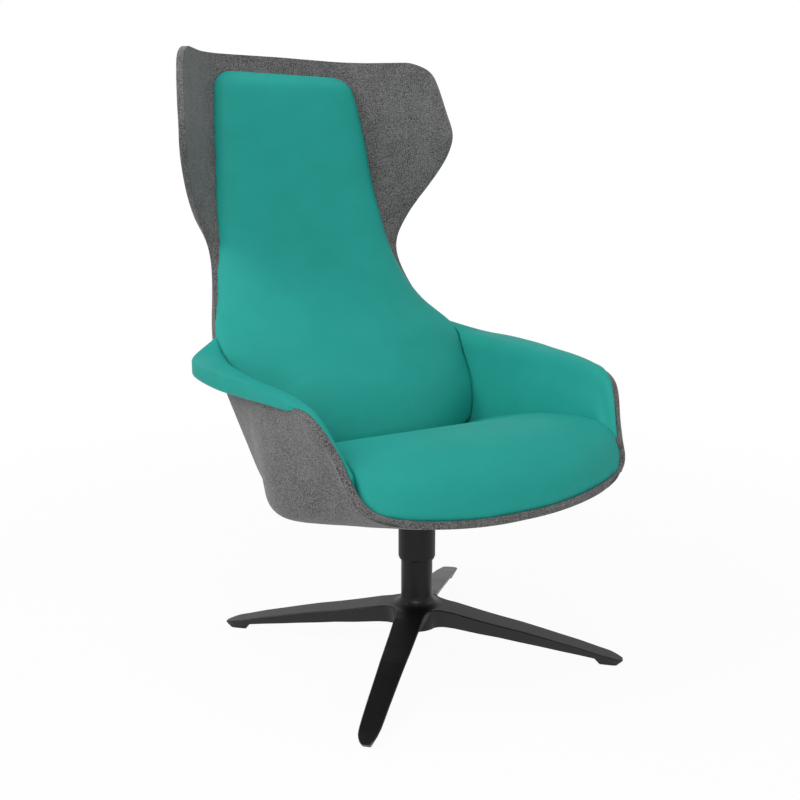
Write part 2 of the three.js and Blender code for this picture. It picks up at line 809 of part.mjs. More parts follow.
function glidePlaces(solid) {
  const turns = [["rear_left", 45], ["front_left", 135], ["front_right", 225], ["rear_right", 315]];
  return turns.map(([place, turn]) => [place, solid.rotate(0, 0, turn)]);
}

function columnSolid() {
  const outline = [[0, legRootUnderside], [columnRadius + hubFilletRadius / 2, legRootUnderside]];
  for (let step = 0; step <= cornerSteps; step++) {
    const angle = (step / cornerSteps) * (Math.PI / 2);
    const reach = columnRadius + hubFilletRadius * (1 - Math.sin(angle));
    outline.push([reach, legRootTop - seatingGap + hubFilletRadius * (1 - Math.cos(angle))]);
  }
  const edge = seatingGap * 4;
  outline.push([columnRadius, columnTop - edge], [columnRadius - edge, columnTop], [0, columnTop]);
  return turned(outline);
}

const ledgeHeight = legRootTop + lowerBushRise - bushLength;
const glideMiddle = legReach * glideMiddleShare;
// Everything below the cast base, which leaves room for the glides under its feet.
const footOutline = roundedRectangle(legReach * 2, legReach * 2, legRootTop);
const footCut = extruded(footOutline, glideThickness + seatingGap + legReach, -legReach);

function starBase() {
  const legs = glidePlaces(legSolid().subtract(footCut)).map(([, leg]) => leg);
  const joined = legs.reduce((left, leg) => left.add(leg), columnSolid());
  const bore = rod(columnBoreRadius, 0, columnTop * 2, roundSteps);
  const counterbore = rod(counterboreRadius, 0, ledgeHeight, roundSteps);
  const stem = rod(glideStemRadius + seatingGap, 0, glideThickness + glideStemLength + seatingGap * 2);
  const holes = glidePlaces(stem.translate(0, glideMiddle, 0)).map(([, hole]) => hole);
  return holes.reduce((left, hole) => left.subtract(hole), joined.subtract(bore).subtract(counterbore));
}

function glide() {
  const foot = legSolid().intersect(footCut.translate(0, 0, -seatingGap));
  const stem = rod(glideStemRadius, glideThickness / 2, glideThickness / 2 + glideStemLength);
  return foot.add(stem.translate(0, glideMiddle, 0));
}

function ring(outer, inner, base, height, steps = roundSteps) {
  const bore = rod(inner, base - cutOverrun, height + cutOverrun * 2, steps);
  return rod(outer, base, height, steps).subtract(bore);
}

const spindleRoom = spindleRadius + runningGap;
const bushRadius = columnBoreRadius - seatingGap;

function upperBush() {
  const flange = ring(bushFlangeRadius, spindleRoom, columnTop + seatingGap, bushFlangeThickness);
  return flange.add(ring(bushRadius, spindleRoom, columnTop - bushLength, bushLength + seatingGap * 2));
}

function lowerBush() {
  const flangeBase = ledgeHeight - seatingGap - bushFlangeThickness;
  const flange = ring(bushFlangeRadius, spindleRoom, flangeBase, bushFlangeThickness);
  const length = bushLength + seatingGap + bushFlangeThickness;
  return flange.add(ring(bushRadius, spindleRoom, flangeBase, length));
}

const thrustWasherBase = columnTop + bushFlangeThickness + seatingGap * 2;
const spindleHubBottom = thrustWasherBase + washerThickness + seatingGap;
const retainerTop = ledgeHeight - bushFlangeThickness - seatingGap * 2;
const clipTop = retainerTop - washerThickness - seatingGap;

// Everything above the underside of the mounting plate.
const aboveOutline = roundedRectangle(plateSize * 2, plateSize * 2, plateCornerRadius);
const aboveHub = mountOf(extruded(aboveOutline, backRise, plateBottom - seatingGap));

function spindle() {
  const length = spindleHubBottom - legRootTop + washerThickness;
  const shaft = rod(spindleRadius, legRootTop, length, roundSteps);
  const hub = rod(spindleHubRadius, spindleHubBottom, backRise, roundSteps).subtract(aboveHub);
  const grooveBase = clipTop - clipThickness - seatingGap;
  const grooveWidth = clipThickness + seatingGap * 2;
  const groove = ring(spindleRadius * 2, spindleRadius - clipGrooveDepth, grooveBase, grooveWidth);
  return shaft.subtract(groove).add(hub);
}

function retainingClip() {
  const inner = spindleRadius - clipGrooveDepth + seatingGap;
  const full = ring(inner + clipWidth, inner, clipTop - clipThickness, clipThickness, roundSteps);
  const wedge = new THREE.Shape();
  const reach = (inner + clipWidth) * 2;
  wedge.moveTo(0, 0);
  wedge.lineTo(reach * Math.sin(clipOpening / 2), reach * Math.cos(clipOpening / 2));
  wedge.lineTo(-reach * Math.sin(clipOpening / 2), reach * Math.cos(clipOpening / 2));
  return full.subtract(extruded(wedge, clipThickness * 4, clipTop - clipThickness * 2));
}

function columnSleeve() {
  const inner = sleeveRadius - sleeveWall;
  const sleeveBottom = columnTop - sleeveOverlap;
  const collar = panHeight(0) - feltThickness - plateThickness - sleeveCollarHeight;
  const top = collar + plateSize;
  const grip = spindleHubRadius + seatingGap;
  return turned([
    [inner, sleeveBottom],
    [sleeveRadius - sleeveWall / 2, sleeveBottom],
    [sleeveRadius, sleeveBottom + sleeveChamfer],
    [sleeveRadius, top],
    [grip, top],
    [grip, collar],
    [inner, collar],
  ]).subtract(aboveHub);
}

function basePlug() {
  const radius = counterboreRadius - seatingGap;
  const cap = rod(radius, legRootUnderside, plugThickness, roundSteps);
  return cap.add(ring(radius, radius - plugWall, legRootUnderside + plugThickness / 2, plugSpigotLength));
}

addPiece(chair, "star_base", starBase(), blackCoat);
for (const [place, solid] of glidePlaces(glide())) {
  addPiece(chair, "glide_" + place, solid, blackPlastic);
}
addPiece(chair, "base_plug", basePlug(), blackPlastic);
addPiece(chair, "upper_bush", upperBush(), whiteAcetal);
addPiece(chair, "lower_bush", lowerBush(), whiteAcetal);
const thrustWasher = ring(washerRadius, spindleRoom, thrustWasherBase, washerThickness);
addPiece(chair, "thrust_washer", thrustWasher, whiteAcetal);
addPiece(chair, "spindle", spindle(), zincSteel);
const retainerBase = retainerTop - washerThickness;
const retainerWasher = ring(bushFlangeRadius, spindleRoom, retainerBase, washerThickness);
addPiece(chair, "retainer_washer", retainerWasher, zincSteel);
addPiece(chair, "retaining_clip", retainingClip(), zincSteel);
addPiece(chair, "column_sleeve", columnSleeve(), blackPlastic);

// The origin lies on the floor, under the middle of the whole chair.
const part = new THREE.Group();
part.add(chair);
chair.position.y = -new THREE.Box3().setFromObject(chair).getCenter(new THREE.Vector3()).y;

export default part;
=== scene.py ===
"""A high back lounge chair: felt shell, upholstered pads and a swivelling star base."""

import json
import math
from contextlib import contextmanager

import bmesh
import bpy
import numpy as np
from bpy.props import FloatProperty, PointerProperty, StringProperty
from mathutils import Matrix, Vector
from mathutils.bvhtree import BVHTree


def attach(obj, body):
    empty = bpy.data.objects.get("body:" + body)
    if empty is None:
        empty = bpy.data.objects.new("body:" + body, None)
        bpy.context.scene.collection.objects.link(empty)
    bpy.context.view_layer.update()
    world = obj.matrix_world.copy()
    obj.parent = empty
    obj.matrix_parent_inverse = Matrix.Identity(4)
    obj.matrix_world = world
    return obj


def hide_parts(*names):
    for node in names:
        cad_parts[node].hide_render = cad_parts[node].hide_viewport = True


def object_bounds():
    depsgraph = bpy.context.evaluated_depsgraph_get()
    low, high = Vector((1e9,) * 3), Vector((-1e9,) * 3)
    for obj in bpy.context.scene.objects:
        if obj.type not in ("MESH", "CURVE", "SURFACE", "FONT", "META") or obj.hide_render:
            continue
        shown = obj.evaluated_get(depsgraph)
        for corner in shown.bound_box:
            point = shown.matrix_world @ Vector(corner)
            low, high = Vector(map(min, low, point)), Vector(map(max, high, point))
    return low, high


bl_info = {
    "name": "High Back Lounge Chair",
    "version": (1, 0, 0),
    "blender": (4, 5, 0),
    "location": "View3D > Sidebar > Chair",
    "description": "Builds a swivelling lounge chair with a felt shell and upholstered pads",
    "category": "Add Mesh",
}

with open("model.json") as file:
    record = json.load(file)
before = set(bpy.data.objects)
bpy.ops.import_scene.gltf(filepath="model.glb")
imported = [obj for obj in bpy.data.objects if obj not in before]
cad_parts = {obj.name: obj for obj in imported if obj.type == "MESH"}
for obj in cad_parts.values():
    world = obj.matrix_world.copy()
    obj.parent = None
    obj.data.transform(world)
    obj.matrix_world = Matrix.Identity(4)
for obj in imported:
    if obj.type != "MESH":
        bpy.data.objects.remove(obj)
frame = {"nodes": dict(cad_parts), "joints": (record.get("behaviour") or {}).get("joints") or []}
CAD_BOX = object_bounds()
SWIVEL_Y = frame["joints"][0]["pos_m"][1]
SEAT = "seat"

# The shell's lines, as shares of its half width, its depth and the rise of its back.
# A point without a height lies on the sloping seat pan.
CENTRE_SHARES = (
    (0, -0.364, 0.002), (0, -0.31, None), (0, -0.254, None), (0, -0.199, None),
    (0, -0.13, None), (0, -0.041, None), (0, 0.092, None), (0, 0.139, None), (0, 0.196, -0.031),
    (0, 0.266, 0.11), (0, 0.343, 0.241), (0, 0.455, 0.418), (0, 0.514, 0.529),
    (0, 0.546, 0.615), (0, 0.57, 0.717), (0, 0.584, 0.792), (0, 0.597, 0.86), (0, 0.615, 0.938),
    (0, 0.626, 1),
)
CORNER_SHARES = (
    (0.364, -0.364, 0.001), (0.59, -0.298, None), (0.7, -0.233, None), (0.763, -0.175, None),
    (0.828, -0.118, None), (0.873, -0.035, None), (0.755, 0.083, None), (0.685, 0.134, None),
    (0.655, 0.201, -0.031), (0.645, 0.279, 0.123), (0.594, 0.355, 0.254), (0.552, 0.463, 0.427),
    (0.561, 0.518, 0.532), (0.558, 0.551, 0.616), (0.545, 0.574, 0.717), (0.533, 0.589, 0.792),
    (0.524, 0.6, 0.86), (0.515, 0.615, 0.938), (0.509, 0.625, 0.998),
)
RIM_SHARES = (
    (0.72, -0.322, 0.029), (0.8, -0.298, 0.063), (0.838, -0.252, 0.147), (0.9, -0.204, 0.212),
    (0.914, -0.13, 0.236), (0.924, -0.012, 0.24), (0.916, 0.071, 0.241), (0.903, 0.16, 0.248),
    (0.842, 0.262, 0.239), (0.768, 0.352, 0.285), (0.7, 0.434, 0.367), (0.655, 0.493, 0.48),
    (0.721, 0.486, 0.571), (0.797, 0.447, 0.645), (0.864, 0.4, 0.726), (0.883, 0.381, 0.792),
    (0.867, 0.4, 0.857), (0.83, 0.433, 0.949), (0.78, 0.465, 0.99),
)
# How much of the pan and the wall the bend between them takes up.
SOFT_SHARES = (
    0.95, 0.6, 0.35, 0.25, 0.18, 0.14, 0.14, 0.16, 0.25, 0.35, 0.4, 0.6, 0.5, 0.4, 0.35, 0.35,
    0.35, 0.35, 0.35,
)
SEAT_MIDDLE_SHARES = (
    (0, -0.362, 0.007), (0, -0.358, 0.034), (0, -0.348, 0.068), (0, -0.323, 0.1),
    (0, -0.279, 0.125), (0, -0.219, 0.138), (0, -0.154, 0.133), (0, -0.071, 0.117),
    (0, 0.033, 0.061), (0, 0.101, 0.009), (0, 0.177, -0.01),
)
SEAT_EDGE_SHARES = (
    (0.712, -0.319, 0.034), (0.778, -0.294, 0.07), (0.782, -0.281, 0.09), (0.794, -0.26, 0.11),
    (0.794, -0.225, 0.122), (0.788, -0.177, 0.125), (0.782, -0.118, 0.118),
    (0.77, -0.035, 0.104), (0.758, 0.071, 0.08), (0.739, 0.16, 0.053), (0.727, 0.213, 0.036),
)
BACK_MIDDLE_SHARES = (
    (0, 0.103, 0.012), (0, 0.103, 0.066), (0, 0.124, 0.123), (0, 0.171, 0.182),
    (0, 0.221, 0.236), (0, 0.274, 0.29), (0, 0.355, 0.362), (0, 0.422, 0.438), (0, 0.467, 0.51),
    (0, 0.495, 0.582), (0, 0.517, 0.661), (0, 0.532, 0.733), (0, 0.547, 0.811),
    (0, 0.564, 0.896), (0, 0.574, 0.938), (0, 0.579, 0.955),
)
BACK_EDGE_SHARES = (
    (0.733, 0.195, 0.045), (0.736, 0.193, 0.077), (0.748, 0.201, 0.125), (0.773, 0.227, 0.166),
    (0.794, 0.268, 0.22), (0.797, 0.313, 0.284), (0.71, 0.4, 0.347), (0.648, 0.466, 0.426),
    (0.618, 0.494, 0.493), (0.603, 0.515, 0.569), (0.585, 0.534, 0.645), (0.567, 0.548, 0.726),
    (0.548, 0.561, 0.807), (0.521, 0.582, 0.894), (0.491, 0.593, 0.937), (0.442, 0.598, 0.955),
)
# How late a cushion's face falls off from its middle line to its edge line.
SEAT_CROWN_POWERS = (2, 2.4, 3, 3.5, 4, 4, 4, 4, 4, 3, 3)
BACK_CROWN_POWERS = (2.5, 2.5, 2.5, 3, 4, 5, 6, 8, 8, 8, 8, 8, 8, 8, 8, 8)
# The arm pad's lines, from the front to the back.
ARM_OUTER_SHARES = (
    (0.797, -0.272, 0.105), (0.848, -0.241, 0.165), (0.903, -0.203, 0.209),
    (0.952, -0.148, 0.233), (0.977, -0.071, 0.245), (0.995, 0.009, 0.25), (1.018, 0.073, 0.253),
    (1.036, 0.132, 0.254), (1.038, 0.21, 0.256), (0.985, 0.284, 0.261), (0.794, 0.344, 0.29),
)
ARM_CREST_SHARES = (
    (0.785, -0.267, 0.104), (0.836, -0.225, 0.176), (0.861, -0.196, 0.214),
    (0.867, -0.144, 0.232), (0.873, -0.071, 0.239), (0.877, 0.009, 0.242),
    (0.869, 0.071, 0.244), (0.858, 0.132, 0.247), (0.838, 0.21, 0.253), (0.8, 0.281, 0.261),
    (0.779, 0.331, 0.284),
)
ARM_FOOT_SHARES = (
    (0.75, -0.251, 0.081), (0.776, -0.21, 0.11), (0.776, -0.177, 0.109), (0.768, -0.13, 0.102),
    (0.764, -0.057, 0.093), (0.761, 0.02, 0.083), (0.752, 0.077, 0.055), (0.72, 0.139, 0.02),
    (0.69, 0.21, 0.01), (0.71, 0.274, 0.03), (0.75, 0.317, 0.15),
)
# Depth of the band on the outside of the arm, of the deepest.
ARM_BAND_SHARES = (0.03, 0.04, 0.05, 0.45, 0.76, 0.93, 1, 0.96, 0.88, 0.72, 0.11)

# How the surfaces are made
PAN_SLOPE = 0.11  # fall of the seat pan towards the back
FRONT_SHARE = 0.364  # of the depth, from the front edge to the swivel axis
SPLINE_SHARE = 0.6  # how much a curve is evened out between its points
CORNER_WEIGHT = 1.8  # how much of a row of faces goes to the bend between pan and wall
SHELL_GRID = (144, 44)  # faces along the felt, and across one half of it
SHELL_STATIONS = len(RIM_SHARES) - 1
ROW_CROWDING = 1.25  # rows lie closer towards the top edge
NORMAL_STEP = 1e-3  # share of the surface over which its direction is measured
WING_ROUND_ALONG = 0.06  # of the felt's length, over which its top corners are rounded
WING_ROUND_ACROSS = 0.07  # of the half width that the rounding takes away
BEVEL_ANGLE = 45  # degrees, from which an edge of the felt is rounded
SHARP_ANGLE = 38  # degrees, from which an edge is drawn sharp

# Cushions
SEAT_GRID = (72, 40)  # faces along the cushion, and across one half of it
BACK_GRID = (120, 48)
SEAT_BLOCK_DROP = 0.27  # of the back's rise, from the seat's face to under the pan
BACK_BLOCK_PARTS = 7  # of the shell's depth: one part reaches behind the felt
BORDER_ROLL = 0.028  # width of the back cushion's rolled border
BORDER_DEPTH = 0.024  # how far the border turns back at its edge
BORDER_POWER = 1.7  # how late in its width the border turns
BORDER_FADE = (0.62, 0.86)  # heights between which the border grows to its full size
OVERRUN = 0.04  # the trimming solid reaches this far past the felt's rim
SURROUND_SPREAD = 2.0  # how many times that solid's outer side is spread
SITTER_HEIGHT_SHARE = 0.4  # of the back's rise: the point that it is spread from
TRIM_ALLOWANCE = 0.004  # the cushions are filled this much too deep, then trimmed

# Filling of the cushions
EDGE_ROLL = 3  # rounds of smoothing that roll the pads' edges
COVER_TENSION = 8  # rounds of smoothing that pull small folds out of the filled cover
SMOOTH_SHARE = 0.5  # of the way to the middle of its neighbours, for each point and round
PINNED_REACH = 0.006  # a cover is held this near to its neighbours
FREE_REACH = 0.05  # and swells freely beyond this
FAR_AWAY = 1e3  # stands for any distance beyond that
SIM_FRAMES = 20  # frames after which the cover has come to rest
SIM_QUALITY = 4  # steps a frame
COVER_MASS = 0.4
STILL = 1e-9  # a point that moves less than this counts as unmoved

# Arm pads
ARM_ROWS = (3, 18)  # of the shell's rows, two to a station
ARM_ROW_STEPS = 5  # sections of the pad to each of those rows
ARM_FELT_PLACES = (0.74, 0.98)  # along the wall, from the foot to the rim
ARM_WALL_SAMPLES = 17  # places between those two at which the wall is measured
ARM_TOP_POINTS, ARM_FACE_POINTS = 5, 9  # points across the armrest, and down its inner face
ARM_CROSSING = (0.23, 0.32)  # of the arm, where the pad's edge passes over the felt's rim
ARM_LIFT_START = -0.3  # of the felt's thickness, where that edge starts to rise
ARM_BAND = 0.031  # depth of the band on the outside of the arm, where it is deepest
ARM_BAND_LEAST = 0.04  # of that depth, ahead of the crossing
ARM_CORNER = 0.003  # rounding of the armrest's edges
CORNER_LIMIT = 0.4  # of a side, the most that its rounding takes
ARM_FOLD = 0.003  # least thickness of the fold
ARM_LEAF_CROWN = 0.002  # how much the armrest's top is raised in its middle
ARM_FACE_BULGE = 0.004  # how much the inner face is filled out
ARM_SHOULDER_DROP = 0.012  # from the crest down to where the inner face starts
ARM_SHOULDER_REACH = 0.003  # and inwards
CREST_FULLNESS = 0.3  # how far the crest's roll is pulled towards its corner

# Finishes: patterns in metres, colours in sRGB
FIBRE_CLUMP = 0.0019  # clumps of fibres are about 1 mm, drawn coarser so that they show
FELT_CLOUD = 0.03  # size of the felt's lighter and darker patches
FELT_CLOUD_SHARE = 0.1  # how much the patches count beside the fibres
FELT_STOPS = (0.43, 0.67)  # of the pattern, between fully dark and fully pale fibres
FELT_RELIEF = 0.0008  # depth of its surface
THREAD_STEP = 0.0016  # threads are about 0.6 mm apart, drawn coarser so that they show
THREAD_RELIEF = 0.0004
DYE_CLOUD = 0.06  # size of the patches that took the dye a little differently
CLOUD_STOPS = (0.3, 0.7)  # of a pattern, between its darker and its lighter colour
DYE_SPREAD = 0.015  # how much lighter or darker those patches are
GRAIN_SPREAD = 0.04
GRAIN_RELIEF = 0.0002
FIBRE_IOR = 1.45  # wool and polyester
BIRCH_RING = 0.006
BIRCH_STRETCH = 0.08  # rings run this much slower along the board
BIRCH_STOPS = (0.35, 0.65)
BIRCH_DARK, BIRCH_PALE = "#b8935f", "#d6b98a"
NYLON_BLACK, ACETAL_WHITE, ZINC_GREY = "#0f0f0f", "#dedbd2", "#b4b7ba"

# Stage
FLOOR_REACH = 9.0  # from the middle to each side
FLOOR_GAP = 0.0005  # between the glides and the floor
FLOOR_GLOW = 0.95  # share of plain white in the floor under the chair: the rest is shadow
FLOOR_FADE = (0.7, 2.2)  # metres from the chair over which the shadow's share fades out
FLOOR_PALE, ROOM_PALE, WHITE = "#f4f4f4", "#f7f9fb", "#ffffff"
ROOM_LIGHT = 0.2  # strength of the light from all around
CAMERA_PLACE = (-0.9631, -1.593, 0.8346)
CAMERA_TURN = (-32.1, 11.747)  # degrees round the chair and above the horizon
CAMERA_LENS = 45.47
SENSOR_WIDTH = 36.0
LAMP_AIM = (0.0, 0.0, 0.5)
# Name, place, width in metres, power in watts.
LAMPS = (
    ("overhead_softbox", (-0.3, -0.6, 3.4), 2.4, 32.0),
    ("upper_left_softbox", (-2.3, 0.7, 2.8), 1.6, 42.0),
    ("front_left_softbox", (-2.2, -2.8, 1.4), 1.8, 49.0),
    ("right_softbox", (2.6, -1.8, 1.9), 1.8, 13.0),
)

CORNERS = ("front_left", "front_right", "rear_left", "rear_right")
GLIDES = ["glide_" + corner for corner in CORNERS]
FASTENERS = [kind + corner for kind in ("mount_bolt_", "mount_nut_") for corner in CORNERS]


# Sizes and colours


class ShellSizes(bpy.types.PropertyGroup):
    """Sizes and colour of the felt shell."""

    half_width: FloatProperty(
        name="Half width", description="Middle to the outside of an arm",
        default=0.330, unit="LENGTH", subtype="DISTANCE")
    depth: FloatProperty(
        name="Depth", description="Front edge to the top edge, along the floor",
        default=0.846, unit="LENGTH", subtype="DISTANCE")
    front_height: FloatProperty(
        name="Front height", description="Floor to the front edge",
        default=0.3425, unit="LENGTH", subtype="DISTANCE")
    back_rise: FloatProperty(
        name="Back rise", description="Front edge to the top edge, upwards",
        default=0.763, unit="LENGTH", subtype="DISTANCE")
    felt: FloatProperty(
        name="Felt thickness", description="Thickness of the pressed felt",
        default=0.012, unit="LENGTH", subtype="DISTANCE")
    edge: FloatProperty(
        name="Edge radius", description="Softness of the felt's cut edge",
        default=0.0016, unit="LENGTH", subtype="DISTANCE")
    dark: StringProperty(
        name="Dark fibres", description="sRGB colour of the felt's dark fibres",
        default="#1e1e1e")
    pale: StringProperty(
        name="Pale fibres", description="sRGB colour of the felt's pale fibres",
        default="#807e7e")


class PadSizes(bpy.types.PropertyGroup):
    """Sizes and colour of the upholstered pads."""

    gap: FloatProperty(
        name="Gap", description="Room between a pad and its neighbours",
        default=0.0005, unit="LENGTH", subtype="DISTANCE")
    voxel: FloatProperty(
        name="Mesh size", description="Size of the faces before the last subdivision",
        default=0.0045, unit="LENGTH", subtype="DISTANCE")
    shrink: FloatProperty(
        name="Slack", description="How much smaller a pad starts before it is filled",
        default=0.002, unit="LENGTH", subtype="DISTANCE")
    swell: FloatProperty(
        name="Swell", description="The most that the filling moves the cover",
        default=0.004, unit="LENGTH", subtype="DISTANCE")
    pressure: FloatProperty(
        name="Pressure", description="Pressure of the filling", default=4.0)
    colour: StringProperty(
        name="Cloth", description="sRGB colour of the upholstery cloth",
        default="#249a90")


class BaseSizes(bpy.types.PropertyGroup):
    """Finish of the star base."""

    colour: StringProperty(
        name="Coating", description="sRGB colour of the powder coating",
        default="#0e0f0f")


class ChairSettings(bpy.types.PropertyGroup):
    """Everything that a user would change."""

    shell: PointerProperty(type=ShellSizes)
    pads: PointerProperty(type=PadSizes)
    base: PointerProperty(type=BaseSizes)


def settings():
    """The chair's sizes and colours."""
    return bpy.context.scene.lounge_chair


# Curves and surfaces


def placed(shares):
    """Points in metres from shares of the shell's width, depth and rise."""
    sizes = settings().shell
    points = []
    for across, along, up in shares:
        y = along * sizes.depth
        if up is None:
            z = sizes.front_height - PAN_SLOPE * (y + FRONT_SHARE * sizes.depth)
        else:
            z = sizes.front_height + up * sizes.back_rise
        points.append((across * sizes.half_width, y + SWIVEL_Y, z))
    return np.array(points)


def soft_step(values, low, high):
    """Rises from 0 at low to 1 at high, level at both ends."""
    share = np.clip((values - low) / (high - low), 0, 1)
    return share * share * (3 - 2 * share)


def smooth_line(points, places):
    """A smooth curve through evenly numbered points, read at places from 0 to 1."""
    points = np.asarray(points, float)
    flat = points.ndim == 1
    if flat:
        points = points[:, None]
    count = len(points)
    inner = np.diff(points, axis=0)
    left = np.zeros((count, count))
    right = np.zeros_like(points)
    for i in range(count):
        left[i, i] = 4.0 if 0 < i < count - 1 else 2.0
        if i:
            left[i, i - 1] = 1.0
            right[i] += 3 * inner[i - 1]
        if i < count - 1:
            left[i, i + 1] = 1.0
            right[i] += 3 * inner[i]
    tangents = np.linalg.solve(left, right)
    limited = np.vstack([2 * inner[:1], inner[:-1] + inner[1:], 2 * inner[-1:]]) / 2
    tangents = limited * (1 - SPLINE_SHARE) + tangents * SPLINE_SHARE
    at = np.clip(np.asarray(places, float), 0, 1) * (count - 1)
    i = np.minimum(at.astype(int), count - 2)
    w = (at - i)[:, None]
    a, b, ta, tb = points[i], points[i + 1], tangents[i], tangents[i + 1]
    made = (
        a * (2 * w**3 - 3 * w**2 + 1)
        + ta * (w**3 - 2 * w**2 + w)
        + b * (3 * w**2 - 2 * w**3)
        + tb * (w**3 - w**2)
    )
    return made[:, 0] if flat else made


def shell_surface(across, along):
    """Points of the felt's inner face for every along (0 to 1) and across (-1 to 1)."""
    centre = smooth_line(placed(CENTRE_SHARES), along)[:, None]
    corner = smooth_line(placed(CORNER_SHARES), along)[:, None]
    rim = smooth_line(placed(RIM_SHARES), along)[:, None]
    soft = smooth_line(SOFT_SHARES, along)[:, None, None]
    bend_start = corner + (centre - corner) * soft
    bend_end = corner + (rim - corner) * soft

    def size(a, b):
        return np.linalg.norm(b - a, axis=2, keepdims=True)

    flat = size(centre, bend_start)
    bend = (size(bend_start, corner) + size(corner, bend_end)) * CORNER_WEIGHT
    wall = size(bend_end, rim)
    place = np.abs(across)[None, :, None] * (flat + bend + wall)
    in_flat = centre + (bend_start - centre) * np.minimum(place / flat, 1)
    w = np.clip((place - flat) / bend, 0, 1)
    in_bend = bend_start * (1 - w) ** 2 + corner * (2 * w * (1 - w)) + bend_end * w**2
    in_wall = bend_end + (rim - bend_end) * np.clip((place - flat - bend) / wall, 0, 1)
    points = np.where(place < flat, in_flat, np.where(place < flat + bend, in_bend, in_wall))
    points[:, :, 0] *= np.sign(across)[None, :]
    return points


def shell_offset(across, along, inward):
    """The shell's surface, moved inward by a distance."""
    lo_u, hi_u = (np.clip(across + step, -1, 1) for step in (-NORMAL_STEP, NORMAL_STEP))
    lo_t, hi_t = (np.clip(along + step, 0, 1) for step in (-NORMAL_STEP, NORMAL_STEP))
    side = shell_surface(hi_u, along) - shell_surface(lo_u, along)
    down = shell_surface(across, hi_t) - shell_surface(across, lo_t)
    normal = np.cross(side, down)
    normal /= np.linalg.norm(normal, axis=2, keepdims=True)
    return shell_surface(across, along) + normal * inward


def wing_round(along):
    """How far a row of the felt reaches across: its top corners are rounded off."""
    past = np.clip((along - (1 - WING_ROUND_ALONG)) / WING_ROUND_ALONG, 0, 1)
    return 1 - WING_ROUND_ACROSS * (1 - np.sqrt(1 - past**2))


def shell_grid(inward, rim=0.0):
    """A grid of points on the shell's surface, moved inward, and led on by a distance past
    the rims of both sides."""
    rows, columns = SHELL_GRID
    across = np.linspace(-1, 1, columns * 2 + 1)
    along = 1 - (1 - np.linspace(0, 1, rows + 1)) ** ROW_CROWDING
    grid = np.stack([
        shell_offset(across * wing_round(t), np.array([t]), inward)[0] for t in along])
    if rim:
        ends = []
        for edge, inside in ((grid[:, 0], grid[:, 1]), (grid[:, -1], grid[:, -2])):
            reach = edge - inside
            reach = edge + reach / np.linalg.norm(reach, axis=1, keepdims=True) * rim
            ends.append(reach[:, None])
        grid = np.concatenate([ends[0], grid, ends[1]], axis=1)
    return grid


def cushion_face(middle_shares, edge_shares, powers, grid_size):
    """A crowned face, spanned between a middle line and an edge line."""
    rows, columns = grid_size
    along = np.linspace(0, 1, rows + 1)
    middle = smooth_line(placed(middle_shares), along)
    edge = smooth_line(placed(edge_shares), along)
    power = smooth_line(powers, along)
    across = np.sin(np.linspace(-1, 1, columns * 2 + 1) * math.pi / 2)
    fall = np.abs(across)[None, :] ** power[:, None]
    grid = np.zeros((rows + 1, len(across), 3))
    grid[:, :, 0] = across[None, :] * edge[:, None, 0]
    for axis in (1, 2):
        grid[:, :, axis] = middle[:, None, axis] * (1 - fall) + edge[:, None, axis] * fall
    return grid


# Meshes


def mesh_object(name, points, faces):
    """An object in the scene with this mesh."""
    mesh = bpy.data.meshes.new(name)
    mesh.from_pydata([tuple(p) for p in points], [], faces)
    mesh.validate()
    mesh.update()
    made = bpy.data.objects.new(name, mesh)
    bpy.context.scene.collection.objects.link(made)
    return made


def slab(name, front, back):
    """A closed solid between two grids, with its outer faces turned outwards."""
    rows, columns = front.shape[:2]
    points = np.concatenate([front.reshape(-1, 3), back.reshape(-1, 3)])

    def at(side, r, c):
        return side * rows * columns + r * columns + c

    faces = []
    for r in range(rows - 1):
        for c in range(columns - 1):
            faces.append([at(0, r, c), at(0, r, c + 1), at(0, r + 1, c + 1), at(0, r + 1, c)])
            faces.append([at(1, r, c), at(1, r + 1, c), at(1, r + 1, c + 1), at(1, r, c + 1)])
    for c in range(columns - 1):
        end = rows - 1
        faces.append([at(0, 0, c), at(1, 0, c), at(1, 0, c + 1), at(0, 0, c + 1)])
        faces.append([at(0, end, c), at(0, end, c + 1), at(1, end, c + 1), at(1, end, c)])
    for r in range(rows - 1):
        end = columns - 1
        faces.append([at(0, r, 0), at(0, r + 1, 0), at(1, r + 1, 0), at(1, r, 0)])
        faces.append([at(0, r, end), at(1, r, end), at(1, r + 1, end), at(0, r + 1, end)])
    return face_outwards(mesh_object(name, points, faces))


def lofted(name, sections):
    """A closed solid through a row of closed sections of as many points."""
    count = sections.shape[1]
    points = sections.reshape(-1, 3)
    faces = []
    for s in range(len(sections) - 1):
        for i in range(count):
            j = (i + 1) % count
            near, far = s * count, (s + 1) * count
            faces.append([near + i, near + j, far + j, far + i])
    last = (len(sections) - 1) * count
    faces.append(list(range(count - 1, -1, -1)))
    faces.append([last + i for i in range(count)])
    return face_outwards(mesh_object(name, points, faces))


@contextmanager
def edited(piece):
    """Opens a piece's mesh for edits, and puts them back into it."""
    mesh = bmesh.new()
    mesh.from_mesh(piece.data)
    yield mesh
    mesh.to_mesh(piece.data)
    mesh.free()


def face_outwards(piece):
    """Turns the faces of a closed mesh outwards."""
    with edited(piece) as mesh:
        bmesh.ops.recalc_face_normals(mesh, faces=mesh.faces)
    return piece


